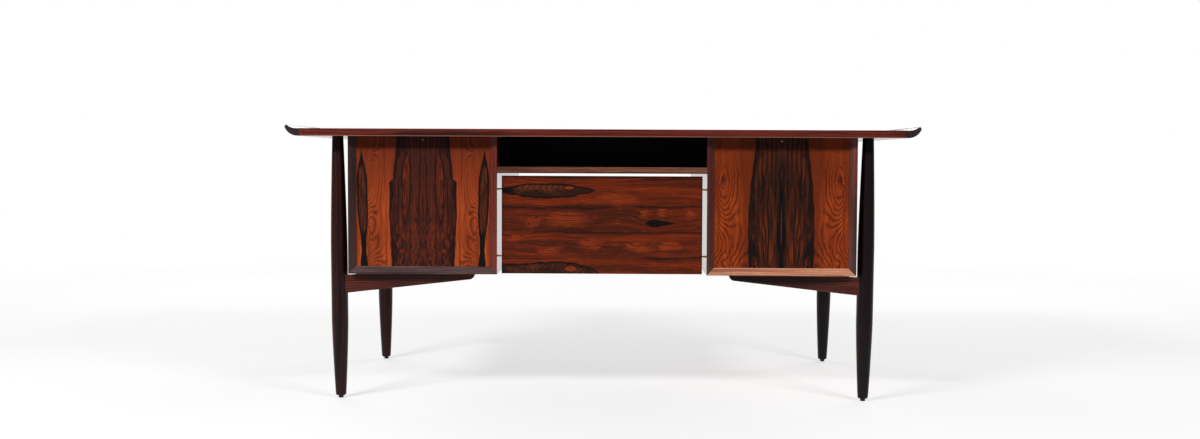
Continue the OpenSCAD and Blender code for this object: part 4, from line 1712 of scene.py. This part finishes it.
@dataclass(frozen=True)
class Drawers(Assembly):
    """The seven drawers of the user's side and the runners that carry them."""

    middle_x: float = 480.5
    front_arris: float = 0.8
    box_arris: float = 0.5
    pull_arris: float = 1.0
    centre_leaf: float = 300.0
    side_leaf: float = 180.0
    pull_wood: SolidRosewood = SolidRosewood("pull_rosewood", Grain.LENGTH, RED_BROWN, ring=3.6)
    hardwood: PaleWood = PaleWood("drawer_hardwood", Grain.DEPTH, srgb(206, 168, 122), srgb(174, 132, 88))
    plywood: PaleWood = PaleWood("drawer_plywood", Grain.LENGTH, srgb(214, 184, 142), srgb(188, 152, 108))
    runner_wood: PaleWood = PaleWood("runner_hardwood", Grain.DEPTH, srgb(176, 132, 88), srgb(140, 98, 62))

    def fronts(self) -> dict[str, PlainVeneer]:
        """Choose the fronts' veneers, which run on over the fronts above and below.

        Returns:
            The veneer of each side and of the centre, by its word.
        """
        leaf, middle = self.side_leaf, self.middle_x
        return {
            "left": PlainVeneer("left_fronts_veneer", Grain.HEIGHT, ORANGE, leaf, -middle, seed=8.0),
            "right": PlainVeneer("right_fronts_veneer", Grain.HEIGHT, ORANGE, leaf, middle, seed=4.0),
            "centre": PlainVeneer(
                "centre_front_veneer", Grain.LENGTH, ORANGE, self.centre_leaf, seed=11.0, darkness=0.6),
        }

    def build(self) -> None:
        """Make and dress the drawers."""
        self.shop.ease("drawer_runners", self.runner_wood, self.box_arris)
        fronts = self.fronts()
        names = [f"{side}_{level}" for side in ("left", "right") for level in ("bottom", "middle", "top")]
        for name in [*names, "centre"]:
            self.shop.ease(f"{name}_drawer_front", fronts[name.split("_")[0]], self.front_arris)
            self.shop.ease(f"{name}_drawer_box", self.hardwood, self.box_arris)
            self.shop.dress(f"{name}_drawer_bottom", self.plywood)
            self.shop.ease(f"{name}_drawer_pull", self.pull_wood, self.pull_arris)


@dataclass(frozen=True)
class Lamp:
    """An area lamp: its place in metres, its power in watts, its width and its height."""

    place: tuple[float, float, float]
    power: float
    wide: float
    high: float


@dataclass(frozen=True)
class Studio:
    """A pale floor, soft lamps and the camera at the photograph's place."""

    floor_half: float = 12.0
    floor_tone: Colour = (0.5, 0.5, 0.497)
    floor_seen: Colour = (0.95, 0.95, 0.945)
    fade_from: float = 2.2
    fade_to: float = 5.0
    glow: float = 0.56
    ambient: float = 0.055
    dim_room: float = 0.1
    dim_from: float = -1.2
    dim_to: float = -3.0
    dim_aside: float = 0.6
    dim_sky_from: float = 0.1
    dim_sky_to: float = 0.75
    eye: tuple[float, float, float] = (0.0401, -3.8459, 0.6496)
    yaw: float = -0.0130
    pitch: float = 0.0460
    roll: float = 0.0043
    lens: float = 38.90
    sensor_w: float = 36.0
    clip_end: float = 100.0
    lamps: tuple[Lamp, ...] = (
        Lamp((-2.6, -3.2, 2.75), 160.0, 1.5, 0.3),
        Lamp((2.6, -3.2, 2.75), 104.0, 1.5, 0.3),
        Lamp((-2.4, 3.4, 2.6), 90.0, 3.2, 2.2),
        Lamp((2.4, 3.4, 2.6), 90.0, 3.2, 2.2),
    )
    aim: tuple[float, float, float] = (0.0, -0.3, 0.45)

    def floor(self) -> None:
        """Lay a plain pale floor that turns white far away."""
        shape = Shape()
        bmesh.ops.create_grid(shape.bm, x_segments=1, y_segments=1, size=self.floor_half)
        floor = shape.finish("studio_floor")
        g = Graph("pale_floor")
        x, y, _ = g.axes()
        distance = g.node("ShaderNodeMath", {"operation": "SQRT"}, {0: x * x + y * y}) * MM
        camera_ray, mirrored = g.shown()
        tone = g.mix(camera_ray, self.floor_tone, self.floor_seen)
        matt = g.node("ShaderNodeBsdfDiffuse", None, {"Color": tone})
        white = g.node("ShaderNodeEmission", None, {"Color": (1.0, 1.0, 1.0), "Strength": 1.0})
        behind = (y - abs(x) * self.dim_aside) * MM
        mirror_level = behind.step(self.dim_to, self.dim_from, self.dim_room, 1.0)
        share = camera_ray.most(mirrored * mirror_level)
        share = share * distance.step(self.fade_from, self.fade_to, self.glow, 1.0)
        g.close(g.node("ShaderNodeMixShader", None, {0: share, 1: matt, 2: white}))
        floor.data.materials.append(g.owner)

    def world(self) -> None:
        """Light the room evenly, white to the camera and in mirrors, but dimmer in those before the desk."""
        g = Graph("studio_world", world=True)
        camera_ray, mirrored = g.shown()
        way = g.node("ShaderNodeTexCoord", output="Generated")
        ahead = g.node("ShaderNodeSeparateXYZ", inputs={0: way}, output=1)
        mirror_level = ahead.step(self.dim_sky_from, self.dim_sky_to, self.dim_room, 1.0)
        level = mirrored * mirror_level + (1.0 - mirrored) * self.ambient
        level = camera_ray + (1.0 - camera_ray) * level
        sky = g.node("ShaderNodeBackground", None, {"Color": (1.0, 1.0, 1.0), "Strength": level})
        g.close(sky, "ShaderNodeOutputWorld")
        bpy.context.scene.world = g.owner

    def light(self) -> None:
        """Hang two lamps before the desk and two broad ones behind it."""
        for number, lamp in enumerate(self.lamps):
            data = bpy.data.lights.new(f"soft_lamp_{number}", "AREA")
            data.shape = "RECTANGLE"
            data.size, data.size_y = lamp.wide, lamp.high
            data.energy = lamp.power
            light = bpy.data.objects.new(data.name, data)
            light.location = lamp.place
            light.rotation_euler = (Vector(self.aim) - Vector(lamp.place)).to_track_quat("-Z", "Y").to_euler()
            bpy.context.scene.collection.objects.link(light)

    def camera(self) -> None:
        """Set up the camera where the photograph was taken."""
        level = Vector((math.sin(self.yaw), math.cos(self.yaw), 0.0))
        side = Vector((math.cos(self.yaw), -math.sin(self.yaw), 0.0))
        above = Vector((0.0, 0.0, 1.0))
        ahead = math.cos(self.pitch) * level - math.sin(self.pitch) * above
        over = math.sin(self.pitch) * level + math.cos(self.pitch) * above
        right = math.cos(self.roll) * side + math.sin(self.roll) * over
        up = -math.sin(self.roll) * side + math.cos(self.roll) * over
        data = bpy.data.cameras.new("photo_camera")
        data.sensor_width = self.sensor_w
        data.lens = self.lens
        data.clip_end = self.clip_end
        camera = bpy.data.objects.new("photo_camera", data)
        turn = Matrix((right, up, -ahead)).transposed().to_4x4()
        camera.matrix_world = Matrix.Translation(self.eye) @ turn
        bpy.context.scene.collection.objects.link(camera)
        bpy.context.scene.camera = camera

    def build(self) -> None:
        """Set up the whole studio."""
        bpy.context.scene.view_settings.view_transform = "Standard"
        self.camera()
        self.floor()
        self.world()
        self.light()


def main() -> None:
    """Load the frame, build the desk round it and set up the studio."""
    logging.basicConfig(level=logging.INFO, format="%(message)s")
    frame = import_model()
    shop = Workshop(frame)
    for assembly in (Worktop, Underframe, Pedestals, MiddleSection, Drawers):
        assembly(shop).build()
    Studio().build()


if __name__ == "__main__":
    main()
